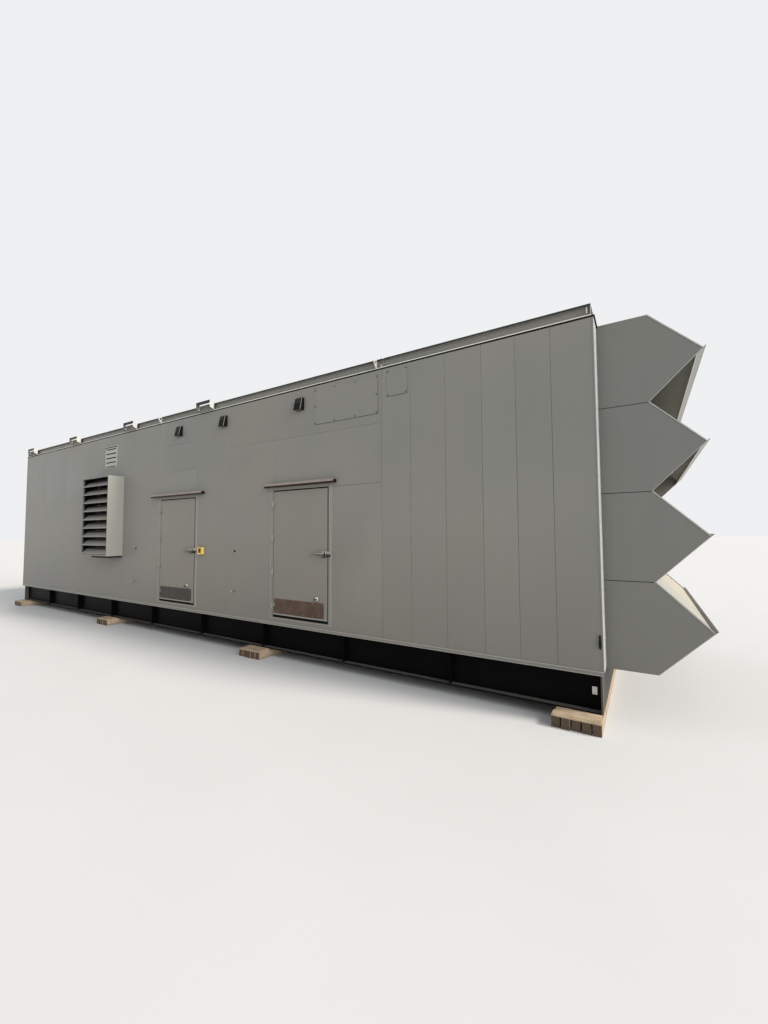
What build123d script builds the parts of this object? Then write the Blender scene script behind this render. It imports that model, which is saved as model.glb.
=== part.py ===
from build123d import *
import math
import os

os.makedirs("parts", exist_ok=True)

# A walk-in weatherproof enclosure of a diesel generator set, on its skid and timber cribs.
# Millimetres. X runs along the enclosure to the intake hoods, the front wall faces -Y, Z is up.
# The origin is under the middle of the whole outline, on the ground.

# Enclosure
wall_length = 16220
wall_width = 4880
wall_height = 4064
wall_thickness = 100
floor_thickness = 150
roof_thickness = 100
roof_recess = 20

# Timber cribs
crib_count = 4
timbers_per_crib = 5
timber_width = 89
timber_height = 120
timber_gap = 15
crib_overhang = 200
packing_thickness = 20
packing_length = 450

# Skid
skid_height = 440
skid_side_inset = 50
skid_end_inset = 20
flange_width = 190
flange_thickness = 18
web_thickness = 14
end_plate_thickness = 20
skid_bays = 9
cross_beam_height = 300
cross_flange_width = 120
cross_flange_thickness = 14
cross_web_thickness = 10
stiffener_thickness = 12

# Intake hoods on the right-hand end
hood_count = 4
hood_flat_depth = 506
hood_side_inset = 335
hood_sheet = 12
hood_seam = 3
lip_inside = 80
lip_beyond = 40
lip_thickness = 5
end_post_lap = 60
transom_height = 120

# Doors in the front wall, placed by their hinge edge from the right-hand end
door_width = 1218
door_height = 2134
door_sill_height = 182
door_thickness = 45
door_gap = 6
door_hinge_places = {"left": 8614, "right": 5109}
frame_face_width = 70
frame_foot_height = 56
frame_proud = 5
frame_stop = 20
stop_clearance = 6

# Hinges
hinge_count = 4
hinge_end_distance = 140
hinge_top_distance = 224
hinge_barrel_radius = 10
hinge_pin_radius = 5
hinge_pin_clearance = 0.3
hinge_axis_offset = 15
hinge_knuckle_length = 60
hinge_knuckle_gap = 0.3
hinge_plate_width = 45
hinge_plate_thickness = 6

# Latches
latch_height = 1246
latch_pivot_from_edge = 50
latch_base_width = 76
latch_base_height = 110
latch_base_thickness = 6
latch_lug_thickness = 12
latch_lug_reach = 66
latch_axis_offset = 50
latch_pin_radius = 5
latch_boss_radius = 14
latch_pin_clearance = 0.3
latch_boss_clearance = 0.3
lever_length = 290
lever_root_height = 56
lever_tip_height = 12
lever_thickness = 12
strike_width = 58
strike_height = 90
strike_depth = 62
strike_base_thickness = 8
strike_keeper_thickness = 14
hold_stud_height = 514
hold_stud_radius = 11
hold_stud_head_radius = 19
hold_stud_head_thickness = 14
hold_stud_from_hinge = 1000
door_stud_length = 55
wall_stud_length = 80
lock_from_leaf = 187
lock_width = 127
lock_height = 140
lock_depth = 70
lock_corner = 14

# Drip caps over the doors
drip_height = 50
drip_depth = 80
drip_slope_drop = 14
drip_lengths = {"left": 1820, "right": 1560}

# Ventilation louvre on the front wall
louvre_from_end = 10240
louvre_width = 1310
louvre_bottom = 1070
louvre_height = 1910
louvre_depth = 355
louvre_casing = 30
louvre_blade_count = 9
louvre_blade_thickness = 8
louvre_blade_run = 150
louvre_blade_setback = 10
louvre_throat_inset = 60

# Small vent plate above the louvre
vent_from_end = 10600
vent_width = 580
vent_height = 550
vent_bottom = 3248
vent_thickness = 22
vent_slot_count = 5
vent_slot_width = 480
vent_slot_height = 48
vent_slot_depth = 14

# Wall lights, placed by their middle from the right-hand end
light_places = {"right": 4499, "middle": 6500, "left": 7970}
light_width = 165
light_height = 210
light_bottom = 3675
light_depth_top = 45
light_depth_bottom = 90

# Bolted access covers
cover_thickness = 4
cover_large = {"from_end": 2924, "width": 1255, "bottom": 3384, "height": 590}
cover_small = {"from_end": 2420, "width": 348, "bottom": 3608, "height": 392}

# Roof rail and what it carries
rail_height = 140
rail_depth = 50
rail_web = 8
rail_flange = 10
rail_end_inset = 20
bracket_count = 4
bracket_from_left_end = 325
bracket_pitch = 2873
bracket_length = 444
bracket_reach = 105
bracket_bottom = 8
bracket_height = 184
bracket_plate = 16
bracket_lip = 50
bracket_corner_cut = 42
eye_places = {"right": 2950, "left": 8700}
eye_plate = 20
eye_radius = 44
eye_hole_radius = 24
eye_reach = 70
eye_drop = 46
eye_shank_height = 32
eye_shoulder = 36
eye_shoulder_drop = 25
eye_foot_half_width = 18

# Edge trims
trim_thickness = 3
trim_leg = 60
trim_front_leg = 14
drip_edge_height = 46
drip_edge_proud = 14
trim_clearance = 2
trim_head_gap = 24

# Levels above the ground
packing_top = timber_height + packing_thickness
wall_base = packing_top + skid_height
wall_top = wall_base + wall_height
floor_top = wall_base + floor_thickness
roof_top = wall_top - roof_recess
roof_bottom = roof_top - roof_thickness

# Hood modules stack level with the wall and come to a nose at half their height
module_height = wall_height / hood_count
hood_nose = module_height / 2
hood_reach = hood_flat_depth + hood_nose
slope = math.sqrt(0.5)
lip_overhang = (lip_beyond + lip_thickness) * slope

# Outline of the whole object
overall_length = trim_thickness + wall_length + hood_reach + lip_overhang
overall_width = louvre_depth + wall_width + crib_overhang
wall_right = overall_length / 2 - hood_reach - lip_overhang
wall_left = wall_right - wall_length
wall_front = louvre_depth - overall_width / 2
wall_rear = wall_front + wall_width
inner_left = wall_left + wall_thickness
inner_right = wall_right - wall_thickness
inner_front = wall_front + wall_thickness
inner_rear = wall_rear - wall_thickness
hood_front = wall_front + hood_side_inset
hood_rear = wall_rear - hood_side_inset


def block(x_span, y_span, z_span, mode=Mode.ADD):
    """A box between two places along each axis, in the part that is being built."""
    middle = [(span[0] + span[1]) / 2 for span in (x_span, y_span, z_span)]
    size = [span[1] - span[0] for span in (x_span, y_span, z_span)]
    with Locations(tuple(middle)):
        Box(*size, mode=mode)


def keep(piece, node):
    """Label a finished piece and write its file."""
    piece.part.label = node
    export_step(piece.part, f"parts/{node}.step")


# Timber cribs: rows of timbers on edge that run under both skid beams
crib_width = timbers_per_crib * timber_width + (timbers_per_crib - 1) * timber_gap
skid_left = wall_left + skid_end_inset
skid_right = wall_right - skid_end_inset
crib_step = (skid_right - skid_left - crib_width) / (crib_count - 1)
crib_starts = [skid_left + index * crib_step for index in range(crib_count)]
crib_front = wall_front - crib_overhang
crib_rear = wall_rear + crib_overhang

with BuildPart() as crib_timbers:
    for crib_start in crib_starts:
        for index in range(timbers_per_crib):
            timber_start = crib_start + index * (timber_width + timber_gap)
            timber_span = (timber_start, timber_start + timber_width)
            block(timber_span, (crib_front, crib_rear), (0, timber_height))
keep(crib_timbers, "crib_timbers")

with BuildPart() as crib_packing:
    for crib_start in crib_starts:
        crib_span = (crib_start, crib_start + crib_width)
        block(crib_span, (crib_front, crib_front + packing_length), (timber_height, packing_top))
        block(crib_span, (crib_rear - packing_length, crib_rear), (timber_height, packing_top))
keep(crib_packing, "crib_packing")

# Skid: two long beams with web stiffeners, end plates and cross beams under the floor
beam_left = skid_left + end_plate_thickness
beam_right = skid_right - end_plate_thickness
bay_length = (beam_right - beam_left) / skid_bays
bay_lines = [beam_left + index * bay_length for index in range(1, skid_bays)]
web_top = wall_base - flange_thickness
web_bottom = packing_top + flange_thickness


def skid_beam(middle, outward):
    """A long I-beam. Outward is the side of its stiffeners, -1 for the front and 1 for the rear."""
    with BuildPart() as beam:
        with BuildSketch(Plane.YZ.offset(beam_left)):
            with Locations((middle, (packing_top + wall_base) / 2)):
                Rectangle(web_thickness, skid_height)
            with Locations((middle, web_bottom - flange_thickness / 2)):
                Rectangle(flange_width, flange_thickness)
            with Locations((middle, web_top + flange_thickness / 2)):
                Rectangle(flange_width, flange_thickness)
        extrude(amount=beam_right - beam_left)
        for line in bay_lines:
            stiffener_edges = (middle, middle + outward * flange_width / 2)
            stiffener_span = (line - stiffener_thickness / 2, line + stiffener_thickness / 2)
            block(stiffener_span, (min(stiffener_edges), max(stiffener_edges)), (web_bottom, web_top))
    return beam


beam_front_edge = wall_front + skid_side_inset
beam_rear_edge = wall_rear - skid_side_inset
skid_beam_front = skid_beam(beam_front_edge + flange_width / 2, -1)
keep(skid_beam_front, "skid_beam_front")
skid_beam_rear = skid_beam(beam_rear_edge - flange_width / 2, 1)
keep(skid_beam_rear, "skid_beam_rear")

with BuildPart() as skid_end_plates:
    for plate_start in (skid_left, beam_right):
        plate_span = (plate_start, plate_start + end_plate_thickness)
        block(plate_span, (beam_front_edge, beam_rear_edge), (packing_top, wall_base))
keep(skid_end_plates, "skid_end_plates")

with BuildPart() as skid_cross_beams:
    cross_span = (beam_front_edge + flange_width, beam_rear_edge - flange_width)
    cross_bottom = wall_base - cross_beam_height
    for line in bay_lines:
        flange_span = (line - cross_flange_width / 2, line + cross_flange_width / 2)
        web_span = (line - cross_web_thickness / 2, line + cross_web_thickness / 2)
        block(web_span, cross_span, (cross_bottom, wall_base))
        block(flange_span, cross_span, (cross_bottom, cross_bottom + cross_flange_thickness))
        block(flange_span, cross_span, (wall_base - cross_flange_thickness, wall_base))
keep(skid_cross_beams, "skid_cross_beams")

# Floor and roof slabs, held between the walls
with BuildPart() as floor:
    block((inner_left, inner_right), (inner_front, inner_rear), (wall_base, floor_top))
keep(floor, "floor")

with BuildPart() as roof:
    block((inner_left, inner_right), (inner_front, inner_rear), (roof_bottom, roof_top))
keep(roof, "roof")


# Doorways: each leaf, its frame's outline and the clear way through the stops
def door_spans(side):
    """The edges of one door's leaf, rebate, frame and clear way, along X and Z."""
    hinge_edge = wall_right - door_hinge_places[side]
    latch_edge = hinge_edge + door_width
    sill = wall_base + door_sill_height
    head = sill + door_height
    rebate_x = (hinge_edge - door_gap, latch_edge + door_gap)
    rebate_z = (sill - door_gap, head + door_gap)
    return {
        "leaf_x": (hinge_edge, latch_edge),
        "leaf_z": (sill, head),
        "rebate_x": rebate_x,
        "rebate_z": rebate_z,
        "frame_x": (rebate_x[0] - frame_face_width, rebate_x[1] + frame_face_width),
        "frame_z": (rebate_z[0] - frame_foot_height, rebate_z[1] + frame_face_width),
        "clear_x": (rebate_x[0] + frame_stop, rebate_x[1] - frame_stop),
        "clear_z": (rebate_z[0] + frame_stop, rebate_z[1] - frame_stop),
    }


doors = {side: door_spans(side) for side in door_hinge_places}
door_face = wall_front - frame_proud

# Louvre opening in the front wall
louvre_x = (wall_right - louvre_from_end - louvre_width, wall_right - louvre_from_end)
louvre_z = (wall_base + louvre_bottom, wall_base + louvre_bottom + louvre_height)
throat_x = (louvre_x[0] + louvre_throat_inset, louvre_x[1] - louvre_throat_inset)
throat_z = (louvre_z[0] + louvre_throat_inset, louvre_z[1] - louvre_throat_inset)


# Front wall, split beside, over and under its openings
def front_panel(x_span, z_span):
    """A stretch of the front wall."""
    with BuildPart() as panel:
        block(x_span, (wall_front, inner_front), z_span)
    return panel


full_height = (wall_base, wall_top)
front_stretches = {
    "front_wall_left": (wall_left, throat_x[0]),
    "front_wall_by_louvre": (throat_x[1], doors["left"]["frame_x"][0]),
    "front_wall_between_doors": (doors["left"]["frame_x"][1], doors["right"]["frame_x"][0]),
    "front_wall_right": (doors["right"]["frame_x"][1], wall_right),
}
for stretch_name, stretch_span in front_stretches.items():
    stretch = front_panel(stretch_span, full_height)
    keep(stretch, stretch_name)

with BuildPart() as front_wall_louvre_bay:
    block(throat_x, (wall_front, inner_front), (wall_base, throat_z[0]))
    block(throat_x, (wall_front, inner_front), (throat_z[1], wall_top))
keep(front_wall_louvre_bay, "front_wall_louvre_bay")

with BuildPart() as front_wall_over_doors:
    for spans in doors.values():
        block(spans["frame_x"], (wall_front, inner_front), (spans["frame_z"][1], wall_top))
keep(front_wall_over_doors, "front_wall_over_doors")

with BuildPart() as front_wall_door_sills:
    for spans in doors.values():
        block(spans["frame_x"], (wall_front, inner_front), (wall_base, spans["frame_z"][0]))
keep(front_wall_door_sills, "front_wall_door_sills")

# Rear wall and left-hand end wall
with BuildPart() as rear_wall:
    block((wall_left, wall_right), (inner_rear, wall_rear), full_height)
keep(rear_wall, "rear_wall")

with BuildPart() as end_wall_left:
    block((wall_left, inner_left), (inner_front, inner_rear), full_height)
keep(end_wall_left, "end_wall_left")

# Right-hand end wall: two posts and the transoms between the hoods
post_front_edge = hood_front + end_post_lap
post_rear_edge = hood_rear - end_post_lap

with BuildPart() as end_post_front:
    block((inner_right, wall_right), (inner_front, post_front_edge), full_height)
keep(end_post_front, "end_post_front")

with BuildPart() as end_post_rear:
    block((inner_right, wall_right), (post_rear_edge, inner_rear), full_height)
keep(end_post_rear, "end_post_rear")

with BuildPart() as end_transoms:
    transom_y = (post_front_edge, post_rear_edge)
    block((inner_right, wall_right), transom_y, (wall_base, floor_top))
    block((inner_right, wall_right), transom_y, (roof_bottom, wall_top))
    for index in range(1, hood_count):
        transom_middle = wall_base + index * module_height
        transom_z = (transom_middle - transom_height / 2, transom_middle + transom_height / 2)
        block((inner_right, wall_right), transom_y, transom_z)
keep(end_transoms, "end_transoms")

# Intake hoods: flat side sheets, bent top sheets and an open underside behind the nose
module_tops = [wall_top - index * module_height for index in range(hood_count)]
hood_shoulder = wall_right + hood_flat_depth
hood_tip = wall_right + hood_reach


def hood_sides(y_start):
    """The four side sheets on one side of the hoods, each with a pointed nose."""
    with BuildPart() as sides:
        for module_top in module_tops:
            module_bottom = module_top - module_height
            nose_height = (module_top + module_bottom) / 2
            with BuildSketch(Plane.XZ.offset(-y_start)):
                with BuildLine():
                    Polyline(
                        (wall_right, module_bottom + hood_seam),
                        (wall_right, module_top),
                        (hood_shoulder, module_top),
                        (hood_tip, nose_height),
                        (hood_shoulder + hood_seam, module_bottom + hood_seam),
                        close=True,
                    )
                make_face()
            extrude(amount=-hood_sheet)
    return sides


hood_sides_front = hood_sides(hood_front)
keep(hood_sides_front, "hood_sides_front")
hood_sides_rear = hood_sides(hood_rear - hood_sheet)
keep(hood_sides_rear, "hood_sides_rear")

sheet_turn = hood_sheet * math.tan(math.radians(22.5))
with BuildPart() as hood_tops:
    for module_top in module_tops:
        tip_height = module_top - hood_nose
        with BuildSketch(Plane.XZ.offset(-(hood_front + hood_sheet))):
            with BuildLine():
                Polyline(
                    (wall_right, module_top),
                    (hood_shoulder, module_top),
                    (hood_tip, tip_height),
                    (hood_tip - hood_sheet * slope, tip_height - hood_sheet * slope),
                    (hood_shoulder - sheet_turn, module_top - hood_sheet),
                    (wall_right, module_top - hood_sheet),
                    close=True,
                )
            make_face()
        extrude(amount=-(hood_rear - hood_front - 2 * hood_sheet))
    hood_floor_y = (hood_front + hood_sheet, hood_rear - hood_sheet)
    block((wall_right, hood_shoulder), hood_floor_y, (wall_base, wall_base + hood_sheet))
keep(hood_tops, "hood_tops")

with BuildPart() as hood_lips:
    for module_top in module_tops:
        tip_height = module_top - hood_nose
        inner_step = lip_inside * slope
        outer_step = lip_beyond * slope
        lip_step = lip_thickness * slope
        with BuildSketch(Plane.XZ.offset(-hood_front)):
            with BuildLine():
                Polyline(
                    (hood_tip - inner_step, tip_height - inner_step),
                    (hood_tip + outer_step, tip_height + outer_step),
                    (hood_tip + outer_step + lip_step, tip_height + outer_step - lip_step),
                    (hood_tip - inner_step + lip_step, tip_height - inner_step - lip_step),
                    close=True,
                )
            make_face()
        extrude(amount=-(hood_rear - hood_front))
keep(hood_lips, "hood_lips")

# Door frames with rebate, stop and the fixed halves of the hinges
hinge_low = door_sill_height + hinge_end_distance
hinge_high = door_sill_height + door_height - hinge_top_distance
hinge_step = (hinge_high - hinge_low) / (hinge_count - 1)
hinge_heights = [wall_base + hinge_low + index * hinge_step for index in range(hinge_count)]
hinge_axis_y = door_face - hinge_axis_offset
rebate_back = door_face + door_thickness + stop_clearance


def door_frame(spans):
    """A steel frame in the wall, its knuckles below each hinge's middle and their pins."""
    hinge_axis_x = spans["leaf_x"][0] - door_gap / 2
    pin_top = hinge_knuckle_length
    with BuildPart() as frame:
        block(spans["frame_x"], (door_face, inner_front), spans["frame_z"])
        block(spans["rebate_x"], (door_face, rebate_back), spans["rebate_z"], Mode.SUBTRACT)
        block(spans["clear_x"], (door_face, inner_front), spans["clear_z"], Mode.SUBTRACT)
        for height in hinge_heights:
            knuckle_bottom = height - hinge_knuckle_length
            with BuildSketch(Plane.XY.offset(knuckle_bottom)):
                with Locations((hinge_axis_x, hinge_axis_y)):
                    Circle(hinge_barrel_radius)
            extrude(amount=hinge_knuckle_length)
            with BuildSketch(Plane.XY.offset(height)):
                with Locations((hinge_axis_x, hinge_axis_y)):
                    Circle(hinge_pin_radius)
            extrude(amount=pin_top)
            plate_x = (hinge_axis_x - hinge_plate_width, hinge_axis_x - door_gap / 2)
            plate_y = (door_face - hinge_plate_thickness, door_face)
            block(plate_x, plate_y, (knuckle_bottom, height))
    return frame


def door_leaf(spans):
    """A flush leaf with the moving halves of its hinges."""
    hinge_axis_x = spans["leaf_x"][0] - door_gap / 2
    with BuildPart() as leaf:
        block(spans["leaf_x"], (door_face, door_face + door_thickness), spans["leaf_z"])
        for height in hinge_heights:
            knuckle_bottom = height + hinge_knuckle_gap
            plate_x = (hinge_axis_x + door_gap / 2, hinge_axis_x + hinge_plate_width)
            plate_y = (door_face - hinge_plate_thickness, door_face)
            plate_z = (knuckle_bottom, knuckle_bottom + hinge_knuckle_length)
            block(plate_x, plate_y, plate_z)
            with BuildSketch(Plane.XY.offset(knuckle_bottom)):
                with Locations((hinge_axis_x, hinge_axis_y)):
                    Circle(hinge_barrel_radius)
            extrude(amount=hinge_knuckle_length)
            with BuildSketch(Plane.XY.offset(knuckle_bottom)):
                with Locations((hinge_axis_x, hinge_axis_y)):
                    Circle(hinge_pin_radius + hinge_pin_clearance)
            extrude(amount=hinge_knuckle_length, mode=Mode.SUBTRACT)
    return leaf


# Latches: a base with two lugs and a pin, a pull lever between them and a strike on the frame
latch_z = wall_base + latch_height
latch_axis_y = door_face - latch_axis_offset
boss_half = latch_base_height / 2 - latch_lug_thickness - latch_boss_clearance


def door_hardware(spans):
    """The latch base and its pin on the leaf, and the stud that holds the leaf open."""
    pivot_x = spans["leaf_x"][1] - latch_pivot_from_edge
    base_z = (latch_z - latch_base_height / 2, latch_z + latch_base_height / 2)
    base_x = (pivot_x - latch_base_width / 2, pivot_x + latch_base_width / 2)
    lug_x = (pivot_x - latch_boss_radius, pivot_x + latch_boss_radius)
    stud_x = spans["leaf_x"][0] + hold_stud_from_hinge
    stud_z = wall_base + hold_stud_height
    with BuildPart() as hardware:
        block(base_x, (door_face - latch_base_thickness, door_face), base_z)
        lug_y = (door_face - latch_lug_reach, door_face)
        block(lug_x, lug_y, (base_z[0], base_z[0] + latch_lug_thickness))
        block(lug_x, lug_y, (base_z[1] - latch_lug_thickness, base_z[1]))
        with BuildSketch(Plane.XY.offset(base_z[0])):
            with Locations((pivot_x, latch_axis_y)):
                Circle(latch_pin_radius)
        extrude(amount=latch_base_height)
        with BuildSketch(Plane.XZ.offset(-door_face)):
            with Locations((stud_x, stud_z)):
                Circle(hold_stud_radius)
        extrude(amount=door_stud_length)
        with BuildSketch(Plane.XZ.offset(-door_face + door_stud_length)):
            with Locations((stud_x, stud_z)):
                Circle(hold_stud_head_radius)
        extrude(amount=hold_stud_head_thickness)
    return hardware


def latch_lever(spans):
    """A tapered pull lever with a boss that turns on the latch pin."""
    pivot_x = spans["leaf_x"][1] - latch_pivot_from_edge
    tip_x = pivot_x - lever_length
    with BuildPart() as lever:
        with BuildSketch(Plane.XY.offset(latch_z - boss_half)):
            with Locations((pivot_x, latch_axis_y)):
                Circle(latch_boss_radius)
        extrude(amount=2 * boss_half)
        with BuildSketch(Plane.XZ.offset(-(latch_axis_y + lever_thickness / 2))):
            with BuildLine():
                Polyline(
                    (tip_x, latch_z - lever_tip_height / 2),
                    (tip_x, latch_z + lever_tip_height / 2),
                    (pivot_x, latch_z + lever_root_height / 2),
                    (pivot_x, latch_z - lever_root_height / 2),
                    close=True,
                )
            make_face()
        extrude(amount=lever_thickness)
        with BuildSketch(Plane.XY.offset(latch_z - boss_half)):
            with Locations((pivot_x, latch_axis_y)):
                Circle(latch_pin_radius + latch_pin_clearance)
        extrude(amount=2 * boss_half, mode=Mode.SUBTRACT)
    return lever


for side, spans in doors.items():
    keep(door_frame(spans), f"door_frame_{side}")
    keep(door_leaf(spans), f"door_leaf_{side}")
    keep(door_hardware(spans), f"door_hardware_{side}")
    keep(latch_lever(spans), f"latch_lever_{side}")

with BuildPart() as latch_strikes:
    for spans in doors.values():
        strike_start = spans["rebate_x"][1]
        strike_x = (strike_start, strike_start + strike_width)
        strike_z = (latch_z - strike_height / 2, latch_z + strike_height / 2)
        block(strike_x, (door_face - strike_base_thickness, door_face), strike_z)
        keeper_x = (strike_x[0], strike_x[0] + strike_keeper_thickness)
        block(keeper_x, (door_face - strike_depth, door_face), strike_z)
keep(latch_strikes, "latch_strikes")

# The lock box beside the left-hand door's strike
lock_left = doors["left"]["leaf_x"][1] + lock_from_leaf
with BuildPart() as strike_lock:
    with BuildSketch(Plane.XZ.offset(-wall_front)):
        with Locations((lock_left + lock_width / 2, latch_z)):
            RectangleRounded(lock_width, lock_height, lock_corner)
    extrude(amount=lock_depth)
keep(strike_lock, "strike_lock")

with BuildPart() as wall_holdbacks:
    for spans in doors.values():
        holdback_x = spans["leaf_x"][0] - door_gap - hold_stud_from_hinge
        holdback_place = (holdback_x, wall_base + hold_stud_height)
        with BuildSketch(Plane.XZ.offset(-wall_front)):
            with Locations(holdback_place):
                Circle(hold_stud_radius)
        extrude(amount=wall_stud_length)
        with BuildSketch(Plane.XZ.offset(-wall_front + wall_stud_length)):
            with Locations(holdback_place):
                Circle(hold_stud_head_radius)
        extrude(amount=hold_stud_head_thickness)
keep(wall_holdbacks, "wall_holdbacks")

# Drip caps with a falling top
with BuildPart() as drip_caps:
    for side, spans in doors.items():
        cap_bottom = spans["frame_z"][1]
        door_middle = (spans["leaf_x"][0] + spans["leaf_x"][1]) / 2
        with BuildSketch(Plane.YZ.offset(door_middle - drip_lengths[side] / 2)):
            with BuildLine():
                Polyline(
                    (wall_front, cap_bottom),
                    (wall_front, cap_bottom + drip_height),
                    (wall_front - drip_depth, cap_bottom + drip_height - drip_slope_drop),
                    (wall_front - drip_depth, cap_bottom),
                    close=True,
                )
            make_face()
        extrude(amount=drip_lengths[side])
keep(drip_caps, "drip_caps")

# Louvre casing with nine slanting blades
louvre_front = wall_front - louvre_depth
casing_inner_x = (louvre_x[0] + louvre_casing, louvre_x[1] - louvre_casing)
casing_inner_z = (louvre_z[0] + louvre_casing, louvre_z[1] - louvre_casing)

with BuildPart() as louvre_casing_box:
    block(louvre_x, (louvre_front, wall_front), louvre_z)
    block(casing_inner_x, (louvre_front, wall_front), casing_inner_z, Mode.SUBTRACT)
keep(louvre_casing_box, "louvre_casing")

blade_step = (casing_inner_z[1] - casing_inner_z[0]) / louvre_blade_count
blade_back = louvre_front + louvre_blade_setback + louvre_blade_run
with BuildPart() as louvre_blades:
    for index in range(louvre_blade_count):
        blade_low = casing_inner_z[0] + index * blade_step + louvre_blade_thickness
        blade_high = blade_low + louvre_blade_run
        blade_front = louvre_front + louvre_blade_setback
        with BuildSketch(Plane.YZ.offset(casing_inner_x[0])):
            with BuildLine():
                Polyline(
                    (blade_front, blade_low),
                    (blade_back, blade_high),
                    (blade_back, blade_high + louvre_blade_thickness),
                    (blade_front, blade_low + louvre_blade_thickness),
                    close=True,
                )
            make_face()
        extrude(amount=casing_inner_x[1] - casing_inner_x[0])
keep(louvre_blades, "louvre_blades")

# Small vent plate with five slots
vent_x = (wall_right - vent_from_end - vent_width, wall_right - vent_from_end)
vent_z = (wall_base + vent_bottom, wall_base + vent_bottom + vent_height)
slot_pitch = vent_height / vent_slot_count
with BuildPart() as small_vent:
    block(vent_x, (wall_front - vent_thickness, wall_front), vent_z)
    slot_middle = (vent_x[0] + vent_x[1]) / 2
    for index in range(vent_slot_count):
        slot_height = vent_z[0] + (index + 0.5) * slot_pitch
        slot_x = (slot_middle - vent_slot_width / 2, slot_middle + vent_slot_width / 2)
        slot_z = (slot_height - vent_slot_height / 2, slot_height + vent_slot_height / 2)
        slot_y = (wall_front - vent_thickness, wall_front - vent_thickness + vent_slot_depth)
        block(slot_x, slot_y, slot_z, Mode.SUBTRACT)
keep(small_vent, "small_vent")

# Three wall lights with a leaning front
with BuildPart() as wall_lights:
    for place in light_places.values():
        light_low = wall_base + light_bottom
        light_high = light_low + light_height
        with BuildSketch(Plane.YZ.offset(wall_right - place - light_width / 2)):
            with BuildLine():
                Polyline(
                    (wall_front, light_low),
                    (wall_front, light_high),
                    (wall_front - light_depth_top, light_high),
                    (wall_front - light_depth_bottom, light_low),
                    close=True,
                )
            make_face()
        extrude(amount=light_width)
keep(wall_lights, "wall_lights")

# Bolted access covers
with BuildPart() as access_covers:
    for cover in (cover_large, cover_small):
        cover_right = wall_right - cover["from_end"]
        cover_low = wall_base + cover["bottom"]
        cover_x = (cover_right - cover["width"], cover_right)
        cover_z = (cover_low, cover_low + cover["height"])
        block(cover_x, (wall_front - cover_thickness, wall_front), cover_z)
keep(access_covers, "access_covers")

# Roof rail: channels on the wall tops with their flanges outwards
rail_top = wall_top + rail_height
rail_left = wall_left + rail_end_inset
rail_right = wall_right - rail_end_inset


def side_rail(outer, inward):
    """A long channel with end plates. Inward is 1 on the front wall and -1 on the rear one."""
    back = outer + inward * rail_depth
    web_face = back - inward * rail_web
    depth_span = (min(outer, back), max(outer, back))
    with BuildPart() as rail:
        rail_x = (rail_left, rail_right)
        block(rail_x, (min(web_face, back), max(web_face, back)), (wall_top, rail_top))
        block(rail_x, depth_span, (wall_top, wall_top + rail_flange))
        block(rail_x, depth_span, (rail_top - rail_flange, rail_top))
        for plate_start in (rail_left, rail_right - rail_web):
            block((plate_start, plate_start + rail_web), depth_span, (wall_top, rail_top))
    return rail


rail_front = side_rail(wall_front, 1)
keep(rail_front, "rail_front")
rail_rear = side_rail(wall_rear, -1)
keep(rail_rear, "rail_rear")

with BuildPart() as rail_ends:
    rail_y = (wall_front + rail_depth, wall_rear - rail_depth)
    for outer, inward in ((rail_left, 1), (rail_right, -1)):
        back = outer + inward * rail_depth
        web_face = back - inward * rail_web
        rail_x = (min(outer, back), max(outer, back))
        block((min(web_face, back), max(web_face, back)), rail_y, (wall_top, rail_top))
        block(rail_x, rail_y, (wall_top, wall_top + rail_flange))
        block(rail_x, rail_y, (rail_top - rail_flange, rail_top))
keep(rail_ends, "rail_ends")

# Brackets that stand off the rail, four on each side, with a closed back and a lip in front
bracket_low = wall_top + bracket_bottom
bracket_high = bracket_low + bracket_height
with BuildPart() as roof_brackets:
    for index in range(bracket_count):
        bracket_left = wall_left + bracket_from_left_end + index * bracket_pitch
        bracket_right = bracket_left + bracket_length
        bracket_x = (bracket_left, bracket_right)
        bracket_z = (bracket_low, bracket_high)
        for outer, inward in ((wall_front, 1), (wall_rear, -1)):
            nose = outer - inward * bracket_reach
            bracket_y = (min(nose, outer), max(nose, outer))
            for plate_left in (bracket_left, bracket_right - bracket_plate):
                with BuildSketch(Plane.YZ.offset(plate_left)):
                    with BuildLine():
                        Polyline(
                            (outer, bracket_low),
                            (outer, bracket_high),
                            (nose, bracket_high),
                            (nose, bracket_low + bracket_corner_cut),
                            close=True,
                        )
                    make_face()
                extrude(amount=bracket_plate)
            block(bracket_x, bracket_y, (bracket_high - bracket_plate, bracket_high))
            back_face = outer - inward * bracket_plate
            block(bracket_x, (min(back_face, outer), max(back_face, outer)), bracket_z)
            lip_back = nose + inward * bracket_plate
            lip_y = (min(nose, lip_back), max(nose, lip_back))
            block(bracket_x, lip_y, (bracket_high - bracket_lip, bracket_high))
keep(roof_brackets, "roof_brackets")

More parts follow.
